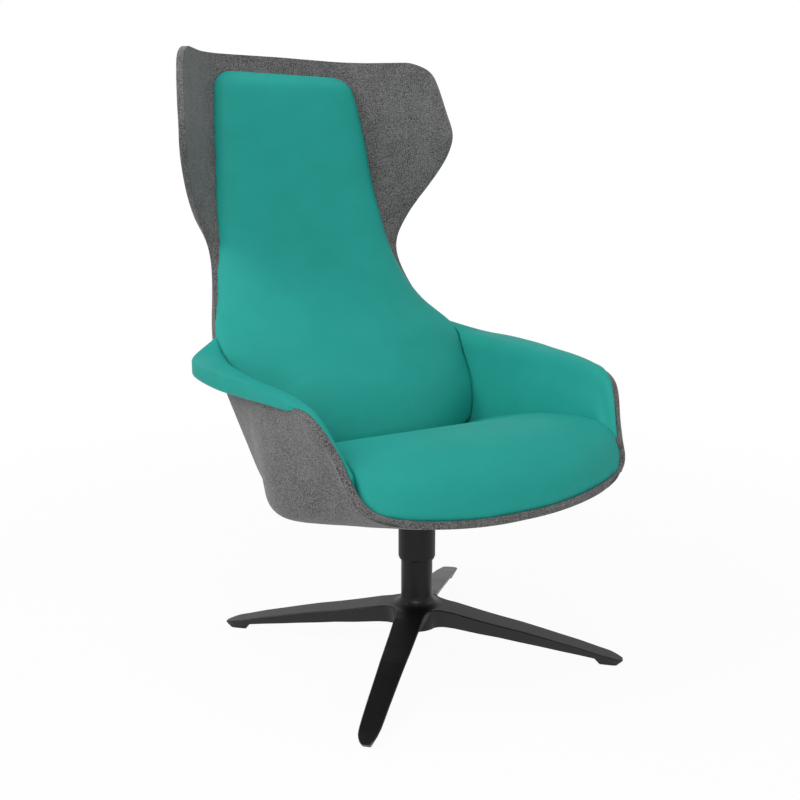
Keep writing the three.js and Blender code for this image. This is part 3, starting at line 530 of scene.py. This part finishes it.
def apply_modifier(piece, kind, **values):
    """Adds a modifier with these values and applies it."""
    modifier = piece.modifiers.new(kind.title(), kind)
    for name, value in values.items():
        setattr(modifier, name, value)
    bpy.context.view_layer.update()
    evaluated = piece.evaluated_get(bpy.context.evaluated_depsgraph_get())
    mesh = bpy.data.meshes.new_from_object(evaluated)
    piece.modifiers.remove(modifier)
    old = piece.data
    piece.data = mesh
    bpy.data.meshes.remove(old)
    return piece


def cut(piece, *tools):
    """Takes the tools' solids away from the piece."""
    for tool in tools:
        apply_modifier(piece, "BOOLEAN", operation="DIFFERENCE", object=tool, solver="EXACT")
    return piece


def keep_largest(piece):
    """Drops every loose part of the mesh but the largest."""
    with edited(piece) as mesh:
        left = set(mesh.faces)
        groups = []
        while left:
            queue = [left.pop()]
            group = set(queue)
            while queue:
                face = queue.pop()
                beside = {other for edge in face.edges for other in edge.link_faces} & left
                left -= beside
                group |= beside
                queue += beside
            groups.append(group)
        groups.sort(key=lambda group: sum(face.calc_area() for face in group))
        loose = [face for group in groups[:-1] for face in group]
        bmesh.ops.delete(mesh, geom=loose, context="FACES")
    return piece


def discard(*pieces):
    """Removes pieces that only served as tools: an object goes with its mesh."""
    for piece in pieces:
        bpy.data.meshes.remove(piece.data)


def rows_of(items, field):
    """A field of three numbers, read as one row for each of the items."""
    made = np.zeros(len(items) * 3)
    items.foreach_get(field, made)
    return made.reshape(-1, 3)


def coordinates(piece):
    """The points of a mesh."""
    return rows_of(piece.data.vertices, "co")


def set_coordinates(piece, points):
    """Moves the points of a mesh to these places."""
    piece.data.vertices.foreach_set("co", np.asarray(points, np.float32).ravel())
    piece.data.update()


def smooth_shaded(piece):
    """Shades all faces smoothly."""
    piece.data.polygons.foreach_set("use_smooth", [True] * len(piece.data.polygons))
    piece.data.update()
    return piece


def crisp_edged(piece):
    """Smooth shading, broken at the piece's real edges."""
    smooth_shaded(piece)
    piece.data.set_sharp_from_angle(angle=math.radians(SHARP_ANGLE))
    return piece


def relaxed(piece, times):
    """Evens out a mesh: each point moves towards the middle of its neighbours."""
    with edited(piece) as mesh:
        for _ in range(times):
            bmesh.ops.smooth_vert(
                mesh, verts=mesh.verts, factor=SMOOTH_SHARE,
                use_axis_x=True, use_axis_y=True, use_axis_z=True)
    return piece


def distances(piece, others):
    """How far each point of the piece is from the nearest of the other solids."""
    points = [Vector(p) for p in coordinates(piece)]
    nearest = np.full(len(points), FAR_AWAY)
    for other in others:
        mesh = other.data
        tree = BVHTree.FromPolygons(
            [v.co for v in mesh.vertices], [p.vertices for p in mesh.polygons])
        for i, point in enumerate(points):
            found = tree.find_nearest(point, FREE_REACH)
            if found[0] is not None:
                nearest[i] = min(nearest[i], found[3])
    return nearest


def upholstered(piece, neighbours):
    """Fills a cut block as a padded cover: fine faces, rolled edges and a soft swell that
    dies out where the pad meets its neighbours."""
    sizes = settings().pads
    apply_modifier(piece, "REMESH", mode="VOXEL", voxel_size=sizes.voxel)
    relaxed(keep_largest(piece), EDGE_ROLL)
    free = soft_step(distances(piece, neighbours), PINNED_REACH, FREE_REACH)
    swollen(piece, free)
    relaxed(piece, COVER_TENSION)
    apply_modifier(piece, "SUBSURF", levels=1, render_levels=1)


def swollen(piece, free):
    """Runs the filling's pressure on the cover, from a slightly smaller shape. A point moves
    by its share of freedom, and by no more than the swell."""
    sizes = settings().pads
    outwards = rows_of(piece.data.vertex_normals, "vector")
    small = coordinates(piece) - outwards * (free * sizes.shrink)[:, None]
    set_coordinates(piece, small)
    held = piece.vertex_groups.new(name="held")
    for i, share in enumerate(free):
        held.add([i], float(1 - share), "REPLACE")
    cloth = piece.modifiers.new("Cloth", "CLOTH")
    cloth.settings.quality = SIM_QUALITY
    cloth.settings.mass = COVER_MASS
    cloth.settings.use_pressure = True
    cloth.settings.uniform_pressure_force = sizes.pressure
    cloth.settings.vertex_group_mass = "held"
    cloth.settings.effector_weights.gravity = 0
    cloth.collision_settings.use_collision = False
    cloth.point_cache.frame_start = 1
    cloth.point_cache.frame_end = SIM_FRAMES
    scene = bpy.context.scene
    for number in range(1, SIM_FRAMES + 1):
        scene.frame_set(number)
    moved = coordinates(piece.evaluated_get(bpy.context.evaluated_depsgraph_get()))
    piece.modifiers.remove(cloth)
    scene.frame_set(1)
    step = moved - small
    length = np.linalg.norm(step, axis=1, keepdims=True)
    step *= np.minimum(1, sizes.swell / np.maximum(length, STILL))
    set_coordinates(piece, small + step * free[:, None])
    piece.vertex_groups.remove(held)


# Solids that trim the pads


def surround_solid(inward):
    """Everything outside the felt's inner face, moved inward by a distance."""
    sizes = settings().shell
    inner = shell_grid(inward, rim=OVERRUN)
    middle = np.array([0, SWIVEL_Y, sizes.front_height + SITTER_HEIGHT_SHARE * sizes.back_rise])
    return slab("surround", inner, (inner - middle) * SURROUND_SPREAD + middle)


def back_face():
    """The front of the back cushion, with a border that rolls back to the felt along the
    top and, fading out downwards, along the sides."""
    face = cushion_face(BACK_MIDDLE_SHARES, BACK_EDGE_SHARES, BACK_CROWN_POWERS, BACK_GRID)
    height = face[:, BACK_GRID[1], 2]
    from_top = (height[-1] - face[:, :, 2].max(axis=1))[:, None]
    from_side = np.abs(face[:, -1, 0])[:, None] - np.abs(face[:, :, 0])
    fade = soft_step(height, *BORDER_FADE)[:, None]
    top = np.clip((BORDER_ROLL - from_top) / BORDER_ROLL, 0, 1)
    side = np.clip((BORDER_ROLL - from_side) / BORDER_ROLL, 0, 1) * fade
    bend = np.minimum(np.sqrt(top**2 + side**2), 1)
    face[:, :, 1] += BORDER_DEPTH * bend**BORDER_POWER
    return face


def back_block(grow=0.0):
    """The back cushion as a block that reaches behind the felt, and that can be grown to cut
    room for the cushion out of its neighbours."""
    sizes = settings().shell
    face = back_face()
    face = face * np.array([1 + grow / sizes.half_width, 1, 1]) - np.array([0, grow, grow])
    return slab("back_block", face, face + np.array([0, sizes.depth / BACK_BLOCK_PARTS, 0]))


def arm_sections(side):
    """Sections of the arm pad along the arm, each from the felt round to the foot."""
    sizes = settings().shell
    first, last = ARM_ROWS
    steps = (last - first) * ARM_ROW_STEPS + 1
    along = np.linspace(0, 1, steps)
    t = (first + (last - first) * along) / (2 * SHELL_STATIONS)
    outer, crest, foot = (
        smooth_line(placed(shares), along)
        for shares in (ARM_OUTER_SHARES, ARM_CREST_SHARES, ARM_FOOT_SHARES)
    )
    depth = fold_over_rim(outer, along, t)
    under = outer - np.array([0, 0, 1]) * depth[:, None]
    places = np.linspace(*ARM_FELT_PLACES, ARM_WALL_SAMPLES)
    wall = shell_offset(places, t, -sizes.felt / 2)
    felt = np.zeros((steps, 3, 3))
    for i in range(steps):
        low = np.interp(under[i, 2] + ARM_FOLD, wall[i, :, 2], places)
        stops = np.array([places[0], (places[0] + low) / 2, low])
        felt[i] = [[np.interp(u, places, wall[i, :, axis]) for axis in range(3)] for u in stops]
    leaf = (outer + crest) / 2 + np.array([0, 0, ARM_LEAF_CROWN])
    middle = (under + outer) / 2
    shoulder = crest - np.array([ARM_SHOULDER_REACH, 0, ARM_SHOULDER_DROP])
    face = (shoulder + foot) / 2 - np.array([ARM_FACE_BULGE, 0, 0])
    across, down = inner_places(ARM_TOP_POINTS), np.linspace(0, 1, ARM_FACE_POINTS)
    rows = []
    for i in range(steps):
        top = smooth_line([outer[i], leaf[i], crest[i]], across)
        inside = smooth_line([shoulder[i], face[i], foot[i]], down)
        rows.append(np.vstack([
            felt[i], rounded_corner(felt[i, 2], under[i], middle[i]), middle[i][None],
            rounded_corner(middle[i], outer[i], top[0]), top[:-1],
            rolled_crest(top[-2], crest[i], inside[1]), inside[1:]]))
    made = np.array(rows)
    made[:, :, 0] *= side
    return made


def fold_over_rim(outer, along, t):
    """Leads the pad's outer line from inside the felt over its rim to the outside, and
    returns the depth of the band that hangs from it."""
    sizes = settings().shell
    gap = settings().pads.gap
    share = soft_step(along, *ARM_CROSSING)
    brink = shell_offset(np.array([1.0]), t, -sizes.felt - gap)[:, 0]
    inside = shell_offset(np.array([1.0]), t, gap)[:, 0]
    reach = np.maximum(outer[:, 0], brink[:, 0] + ARM_FOLD)
    outer[:, 0] += (reach - outer[:, 0]) * share
    over = (outer[:, 0] - inside[:, 0]) / (brink[:, 0] - inside[:, 0])
    rim = inside[:, 2] + (brink[:, 2] - inside[:, 2]) * np.clip(over, 0, 1)
    lift = np.maximum(rim + ARM_FOLD - outer[:, 2], 0)
    outer[:, 2] += lift * soft_step(over, ARM_LIFT_START, 0)
    return ARM_BAND * (
        ARM_BAND_LEAST + (smooth_line(ARM_BAND_SHARES, along) - ARM_BAND_LEAST) * share)


def inner_places(count):
    """Evenly spread places between 0 and 1, without the two ends."""
    return np.linspace(0, 1, count + 2)[1:-1]


def rolled_crest(before, crest, after):
    """Points of a wide roll from the armrest's top to the pad's inner side."""
    peak = crest + (crest - (before + after) / 2) * CREST_FULLNESS
    t = inner_places(ARM_TOP_POINTS)[:, None]
    return before * (1 - t)**2 + peak * 2 * t * (1 - t) + after * t**2


def rounded_corner(before, corner, after):
    """Three points that round a section's corner."""
    ends = [
        corner + (end - corner) * min(
            ARM_CORNER / np.linalg.norm(end - corner), CORNER_LIMIT)
        for end in (before, after)]
    return [ends[0], (ends[0] + 2 * corner + ends[1]) / 4, ends[1]]


def arm_block(side, shift=0.0):
    """The arm pad before it is cut to the felt, and shifted to cut room for it."""
    block = lofted("arm_block", arm_sections(side))
    if shift:
        set_coordinates(block, coordinates(block) + np.array([-side * shift, -shift, 0]))
    return block


def felt_room():
    """The felt with the gap that the pads leave round it."""
    gap = settings().pads.gap
    felt = settings().shell.felt
    return slab("felt_room", shell_grid(gap, rim=gap), shell_grid(-felt - gap, rim=gap))


# Pieces


def build_shell():
    """The formed felt sheet, with its cut edge eased."""
    sizes = settings().shell
    shell = slab("felt_shell_formed", shell_grid(0), shell_grid(-sizes.felt))
    apply_modifier(
        shell, "BEVEL", width=sizes.edge, segments=2, limit_method="ANGLE",
        angle_limit=math.radians(BEVEL_ANGLE))
    smooth_shaded(shell)
    finish_piece(shell, felt_material(), SEAT, "felt_shell")


def cushion(name, block, cutters, neighbours):
    """Turns a block into an upholstered cushion: cut by its cutters and, too deep, by the
    felt, then filled, and trimmed to the felt with the gap."""
    gap = settings().pads.gap
    surround, deep = surround_solid(gap), surround_solid(gap - TRIM_ALLOWANCE)
    block.name = name
    cut(block, deep, *cutters)
    keep_largest(block)
    upholstered(block, [surround, *neighbours])
    cut(block, surround)
    keep_largest(block)
    discard(surround, deep, *neighbours)
    return crisp_edged(block)


def build_back_cushion():
    """The back cushion, which swells freely where no other pad is near."""
    neighbours = [seat_block(), arm_block(-1), arm_block(1)]
    back = cushion("back_cushion_cover", back_block(), [], neighbours)
    finish_piece(back, cloth_material(), SEAT, "back_cushion")


def seat_block():
    """The seat cushion as a block that reaches under the pan."""
    face = cushion_face(SEAT_MIDDLE_SHARES, SEAT_EDGE_SHARES, SEAT_CROWN_POWERS, SEAT_GRID)
    drop = settings().shell.back_rise * SEAT_BLOCK_DROP
    return slab("seat_block", face, face - np.array([0, 0, drop]))


def build_seat_cushion():
    """The seat cushion, cut to leave the gap to the back cushion and the arm pads."""
    gap = settings().pads.gap
    neighbours = [back_block(gap), arm_block(-1, gap), arm_block(1, gap)]
    seat = cushion("seat_cushion_cover", seat_block(), neighbours, neighbours)
    finish_piece(seat, cloth_material(), SEAT, "seat_cushion")


def build_arm_pads():
    """Both arm pads. Their thin edges are modelled as they are, without a simulation."""
    gap = settings().pads.gap
    room, back = felt_room(), back_block(gap)
    right = arm_block(1)
    right.name = "arm_pad_cover_right"
    cut(right, room, back)
    keep_largest(right)
    discard(room, back)
    crisp_edged(right)
    left = right.copy()
    left.data = right.data.copy()
    left.name = "arm_pad_cover_left"
    bpy.context.scene.collection.objects.link(left)
    set_coordinates(left, coordinates(left) * np.array([-1, 1, 1]))
    left.data.flip_normals()
    for pad, node in ((right, "arm_pad_right"), (left, "arm_pad_left")):
        finish_piece(pad, cloth_material(), SEAT, node)


def finish_piece(piece, material, body, node):
    """Gives a piece its material, its body and the CAD node that it stands for."""
    piece.data.materials.clear()
    piece.data.materials.append(material)
    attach(piece, body)
    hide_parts(node)


def dress_nodes(material, names):
    """Gives CAD nodes that stay as they are their material."""
    for name in names:
        node = frame["nodes"][name]
        for place in node.material_slots:
            place.material = material
        if not node.material_slots:
            node.data.materials.append(material)


# Finishes


def linear(code):
    """An sRGB colour like #2b9d90 as linear values for a shader."""
    parts = [int(code[i:i + 2], 16) / 255 for i in (1, 3, 5)]
    return [p / 12.92 if p <= 0.04045 else ((p + 0.055) / 1.055) ** 2.4 for p in parts] + [1.0]


def add_node(tree, kind, options=None, **inputs):
    """Adds a shader node with its options and its inputs, which are values or sockets."""
    node = tree.nodes.new(kind)
    for name, value in (options or {}).items():
        setattr(node, name, value)
    for name, value in inputs.items():
        put(tree, node.inputs[name.replace("_", " ")], value)
    return node


def put(tree, socket, value):
    """Sets a socket to a value, or links it to another socket."""
    if isinstance(value, bpy.types.NodeSocket):
        tree.links.new(value, socket)
    else:
        socket.default_value = value


def combined(tree, kind, options, *values):
    """Adds a node whose inputs go by their order, such as a sum or a mix."""
    node = add_node(tree, kind, options)
    for socket, value in zip(node.inputs, values):
        put(tree, socket, value)
    return node


def finish(name):
    """Names a material that a function fills in, and that is made once."""
    def named(fill):
        def material():
            made = bpy.data.materials.get(name)
            if made is None:
                made = bpy.data.materials.new(name)
                made.use_nodes = True
                made.node_tree.nodes.clear()
                fill(made.node_tree)
            return made
        return material
    return named


def ramp(tree, factor, places, codes):
    """A colour that runs from the first code at the first place to the second."""
    node = add_node(tree, "ShaderNodeValToRGB", Fac=factor)
    for element, place, code in zip(node.color_ramp.elements, places, codes):
        element.position = place
        element.color = linear(code)
    return node.outputs["Color"]


def clouded(tree, factor, code, spread):
    """The colour with soft patches, a little darker and a little lighter."""
    return ramp(tree, factor, CLOUD_STOPS, (shade(code, 1 - spread), shade(code, 1 + spread)))


def surface(tree, **inputs):
    """The principled shader of a finish, with its output."""
    shader = add_node(tree, "ShaderNodeBsdfPrincipled", **inputs)
    add_node(tree, "ShaderNodeOutputMaterial", Surface=shader.outputs["BSDF"])


def object_place(tree):
    """Places on the object, in metres."""
    return add_node(tree, "ShaderNodeTexCoord").outputs["Object"]


def shade(code, share):
    """The sRGB colour made lighter (share over 1) or darker."""
    parts = [min(255, round(int(code[i:i + 2], 16) * share)) for i in (1, 3, 5)]
    return "#%02x%02x%02x" % tuple(parts)


def noise(tree, place, size, detail=2.0, **inputs):
    """A cloudy pattern with patches of a size in metres."""
    node = add_node(
        tree, "ShaderNodeTexNoise", Vector=place, Scale=1 / size, Detail=detail, **inputs)
    return node.outputs["Fac"]


def relief(tree, height, strength, depth):
    """The direction of a surface with a fine relief of a depth in metres."""
    node = add_node(tree, "ShaderNodeBump", Height=height, Strength=strength, Distance=depth)
    return node.outputs["Normal"]


@finish("pressed_polyester_felt")
def felt_material(tree):
    """Pressed polyester felt, needled and heat formed: dark and pale fibres lie mixed,
    which the eye sees as a fine mottled grey with a dull, slightly hairy surface."""
    sizes = settings().shell
    place = object_place(tree)
    fibres = noise(tree, place, FIBRE_CLUMP, 3.0, Roughness=0.65)
    mixed = combined(
        tree, "ShaderNodeMath", {"operation": "MULTIPLY_ADD"},
        noise(tree, place, FELT_CLOUD), FELT_CLOUD_SHARE, fibres)
    surface(
        tree,
        Base_Color=ramp(tree, mixed.outputs["Value"], FELT_STOPS, (sizes.dark, sizes.pale)),
        Normal=relief(tree, fibres, 0.4, FELT_RELIEF), Roughness=0.95, IOR=FIBRE_IOR,
        Specular_IOR_Level=0.25, Sheen_Weight=0.2, Sheen_Roughness=0.6)


@finish("plain_woven_wool_cloth")
def cloth_material(tree):
    """Fine plain-woven wool cloth, piece dyed: an even colour with a soft bloom where it
    turns away, and threads too fine to make out, drawn as a faint grain."""
    code = settings().pads.colour
    place = object_place(tree)
    threads = add_node(
        tree, "ShaderNodeTexVoronoi", {"feature": "F1"}, Vector=place, Scale=1 / THREAD_STEP)
    surface(
        tree, Base_Color=clouded(tree, noise(tree, place, DYE_CLOUD), code, DYE_SPREAD),
        Normal=relief(tree, threads.outputs["Distance"], 0.15, THREAD_RELIEF),
        Roughness=0.6, IOR=FIBRE_IOR, Specular_IOR_Level=0.17,
        Sheen_Weight=0.03, Sheen_Roughness=0.45, Sheen_Tint=linear(shade(code, 1.5)))


def grained(tree, code, grain, strength, **inputs):
    """A plain surface with a fine grain of a real size in metres."""
    pattern = noise(tree, object_place(tree), grain)
    surface(
        tree, Base_Color=clouded(tree, pattern, code, GRAIN_SPREAD),
        Normal=relief(tree, pattern, strength, GRAIN_RELIEF), **inputs)


@finish("satin_powder_coated_aluminium")
def coating_material(tree):
    """Aluminium, powder coated in satin black: the coat's fine orange peel softens the
    highlights along the legs' edges."""
    grained(
        tree, settings().base.colour, grain=0.0009, strength=0.12,
        Roughness=0.4, IOR=1.5, Specular_IOR_Level=0.22)


@finish("moulded_black_nylon")
def nylon_material(tree):
    """Black nylon, injection moulded: a little duller than the coating beside it."""
    grained(
        tree, NYLON_BLACK, grain=0.0006, strength=0.15,
        Roughness=0.5, IOR=1.53, Specular_IOR_Level=0.22)


@finish("bright_zinc_plated_steel")
def zinc_material(tree):
    """Steel, turned or stamped and bright zinc plated: pale grey with clear highlights."""
    grained(tree, ZINC_GREY, grain=0.0008, strength=0.05, Roughness=0.3, Metallic=1.0)


@finish("machined_white_acetal")
def acetal_material(tree):
    """White acetal, machined: waxy, with faint tool marks."""
    grained(
        tree, ACETAL_WHITE, grain=0.0007, strength=0.05,
        Roughness=0.45, IOR=1.48, Specular_IOR_Level=0.5)


@finish("sanded_birch_plywood")
def birch_material(tree):
    """Birch plywood, sanded: pale wood with fine long rings."""
    stretched = add_node(
        tree, "ShaderNodeMapping", Vector=object_place(tree), Scale=(1.0, BIRCH_STRETCH, 1.0))
    rings = noise(tree, stretched.outputs["Vector"], BIRCH_RING, 4.0)
    colour = ramp(tree, rings, BIRCH_STOPS, (BIRCH_DARK, BIRCH_PALE))
    surface(tree, Base_Color=colour, Roughness=0.6)


@finish("matt_white_floor")
def floor_material(tree):
    """Pale matt floor that stays white to the camera and keeps a faint shadow."""
    reach = add_node(
        tree, "ShaderNodeVectorMath", {"operation": "LENGTH"}, Vector=object_place(tree))
    glow_share = add_node(
        tree, "ShaderNodeMapRange", {"interpolation_type": "SMOOTHSTEP"},
        Value=reach.outputs["Value"], From_Min=FLOOR_FADE[0], From_Max=FLOOR_FADE[1],
        To_Min=FLOOR_GLOW, To_Max=1.0)
    share = combined(
        tree, "ShaderNodeMath", {"operation": "MULTIPLY"},
        seen_directly(tree), glow_share.outputs["Result"])
    matt = add_node(tree, "ShaderNodeBsdfDiffuse", Color=linear(FLOOR_PALE))
    glow = add_node(tree, "ShaderNodeEmission", Color=linear(WHITE), Strength=1.0)
    mixed = combined(
        tree, "ShaderNodeMixShader", None,
        share.outputs["Value"], matt.outputs["BSDF"], glow.outputs["Emission"])
    add_node(tree, "ShaderNodeOutputMaterial", Surface=mixed.outputs["Shader"])


def seen_directly(tree):
    """1 where the camera, or a mirror or glass, looks at the surface."""
    rays = add_node(tree, "ShaderNodeLightPath").outputs
    first = combined(
        tree, "ShaderNodeMath", {"operation": "MAXIMUM"},
        rays["Is Camera Ray"], rays["Is Glossy Ray"])
    both = combined(
        tree, "ShaderNodeMath", {"operation": "MAXIMUM"},
        first.outputs["Value"], rays["Is Transmission Ray"])
    return both.outputs["Value"]


# Base, fittings and stage


def build_base():
    """The star base and what is seen of its column."""
    dress_nodes(coating_material(), ["star_base", "seat_mount_plate"])
    dress_nodes(nylon_material(), [*GLIDES, "base_plug", "column_sleeve"])
    for name in ["star_base", "column_sleeve", "seat_mount_plate", "base_plug", *GLIDES]:
        crisp_edged(frame["nodes"][name])


def build_fittings():
    """The boards, fasteners and bearings inside the chair."""
    dress_nodes(zinc_material(), ["spindle", "retainer_washer", "retaining_clip", *FASTENERS])
    dress_nodes(acetal_material(), ["upper_bush", "lower_bush", "thrust_washer"])
    dress_nodes(birch_material(), ["seat_board", "back_board"])


def build_stage():
    """The floor, the light and the camera of the photograph."""
    bpy.context.scene.view_settings.view_transform = "Standard"
    build_floor()
    build_room()
    for lamp in LAMPS:
        build_lamp(*lamp)
    build_camera()


def build_floor():
    """A wide flat floor under the glides."""
    far = FLOOR_REACH
    floor = mesh_object(
        "floor", [(-far, -far, 0), (far, -far, 0), (far, far, 0), (-far, far, 0)],
        [[0, 1, 2, 3]])
    floor.location.z = CAD_BOX[0].z - FLOOR_GAP
    floor.data.materials.append(floor_material())


def build_room():
    """A world that lights the chair a little, and is white where it is seen."""
    world = bpy.data.worlds.new("pale_room")
    bpy.context.scene.world = world
    world.use_nodes = True
    tree = world.node_tree
    tree.nodes.clear()
    light = add_node(tree, "ShaderNodeBackground", Color=linear(ROOM_PALE), Strength=ROOM_LIGHT)
    plain = add_node(tree, "ShaderNodeBackground", Color=linear(WHITE), Strength=1.0)
    mixed = combined(
        tree, "ShaderNodeMixShader", None,
        seen_directly(tree), light.outputs["Background"], plain.outputs["Background"])
    add_node(tree, "ShaderNodeOutputWorld", Surface=mixed.outputs["Shader"])


def build_lamp(name, place, width, power):
    """A round softbox that is aimed at the chair."""
    data = bpy.data.lights.new(name, "AREA")
    data.shape = "DISK"
    data.size = width
    data.energy = power
    lamp = bpy.data.objects.new(name, data)
    bpy.context.scene.collection.objects.link(lamp)
    lamp.location = place
    aim(lamp, Vector(LAMP_AIM) - Vector(place))


def build_camera():
    """The camera at the place and angle that the photograph was taken from."""
    data = bpy.data.cameras.new("camera")
    data.lens = CAMERA_LENS
    data.sensor_width = SENSOR_WIDTH
    camera = bpy.data.objects.new("camera", data)
    bpy.context.scene.collection.objects.link(camera)
    bpy.context.scene.camera = camera
    camera.location = CAMERA_PLACE
    azimuth, elevation = map(math.radians, CAMERA_TURN)
    aim(camera, Vector((
        -math.sin(azimuth) * math.cos(elevation),
        math.cos(azimuth) * math.cos(elevation),
        -math.sin(elevation))))


def aim(thing, direction):
    """Turns a lamp or camera to look in a direction."""
    thing.rotation_euler = direction.to_track_quat("-Z", "Y").to_euler()


# Operators


class CHAIR_OT_felt_shell(bpy.types.Operator):
    """Make the formed felt shell with its arms and wings"""

    bl_idname = "chair.felt_shell"
    bl_label = "Felt Shell"

    def execute(self, context):
        build_shell()
        return {"FINISHED"}


class CHAIR_OT_back_cushion(bpy.types.Operator):
    """Make the upholstered back"""

    bl_idname = "chair.back_cushion"
    bl_label = "Back Cushion"

    def execute(self, context):
        build_back_cushion()
        return {"FINISHED"}


class CHAIR_OT_seat_cushion(bpy.types.Operator):
    """Make the upholstered seat"""

    bl_idname = "chair.seat_cushion"
    bl_label = "Seat Cushion"

    def execute(self, context):
        build_seat_cushion()
        return {"FINISHED"}


class CHAIR_OT_arm_pads(bpy.types.Operator):
    """Make the two arm pads, the left one as the mirror of the right one"""

    bl_idname = "chair.arm_pads"
    bl_label = "Arm Pads"

    def execute(self, context):
        build_arm_pads()
        return {"FINISHED"}


class CHAIR_OT_star_base(bpy.types.Operator):
    """Finish the star base, its glides, plug and sleeve"""

    bl_idname = "chair.star_base"
    bl_label = "Star Base"

    def execute(self, context):
        build_base()
        return {"FINISHED"}


class CHAIR_OT_hidden_parts(bpy.types.Operator):
    """Finish the boards, bolts and bearings inside the chair"""

    bl_idname = "chair.hidden_parts"
    bl_label = "Boards and Fittings"

    def execute(self, context):
        build_fittings()
        return {"FINISHED"}


class CHAIR_OT_stage(bpy.types.Operator):
    """Make the floor, the lights and the camera"""

    bl_idname = "chair.stage"
    bl_label = "Stage"

    def execute(self, context):
        build_stage()
        return {"FINISHED"}


class CHAIR_PT_panel(bpy.types.Panel):
    """The chair's sizes and the buttons that build it"""

    bl_idname = "CHAIR_PT_panel"
    bl_label = "High Back Lounge Chair"
    bl_space_type = "VIEW_3D"
    bl_region_type = "UI"
    bl_category = "Chair"

    def draw(self, context):
        chair = context.scene.lounge_chair
        for title, group in (("Shell", chair.shell), ("Pads", chair.pads), ("Base", chair.base)):
            box = self.layout.box()
            box.label(text=title)
            for name in group.__annotations__:
                box.prop(group, name)
        for operator in OPERATORS:
            self.layout.operator(operator.bl_idname)


OPERATORS = (
    CHAIR_OT_felt_shell,
    CHAIR_OT_back_cushion,
    CHAIR_OT_seat_cushion,
    CHAIR_OT_arm_pads,
    CHAIR_OT_star_base,
    CHAIR_OT_hidden_parts,
    CHAIR_OT_stage,
)
CLASSES = (ShellSizes, PadSizes, BaseSizes, ChairSettings, *OPERATORS, CHAIR_PT_panel)


def register():
    """Makes the classes and the chair's settings known to Blender."""
    for one in CLASSES:
        bpy.utils.register_class(one)
    bpy.types.Scene.lounge_chair = PointerProperty(type=ChairSettings)


def unregister():
    """Takes them out again, in the reverse order."""
    del bpy.types.Scene.lounge_chair
    for one in reversed(CLASSES):
        bpy.utils.unregister_class(one)


def main():
    """Builds the chair and its stage."""
    register()
    for operator in OPERATORS:
        group, name = operator.bl_idname.split(".")
        getattr(getattr(bpy.ops, group), name)()


if __name__ == "__main__":
    main()
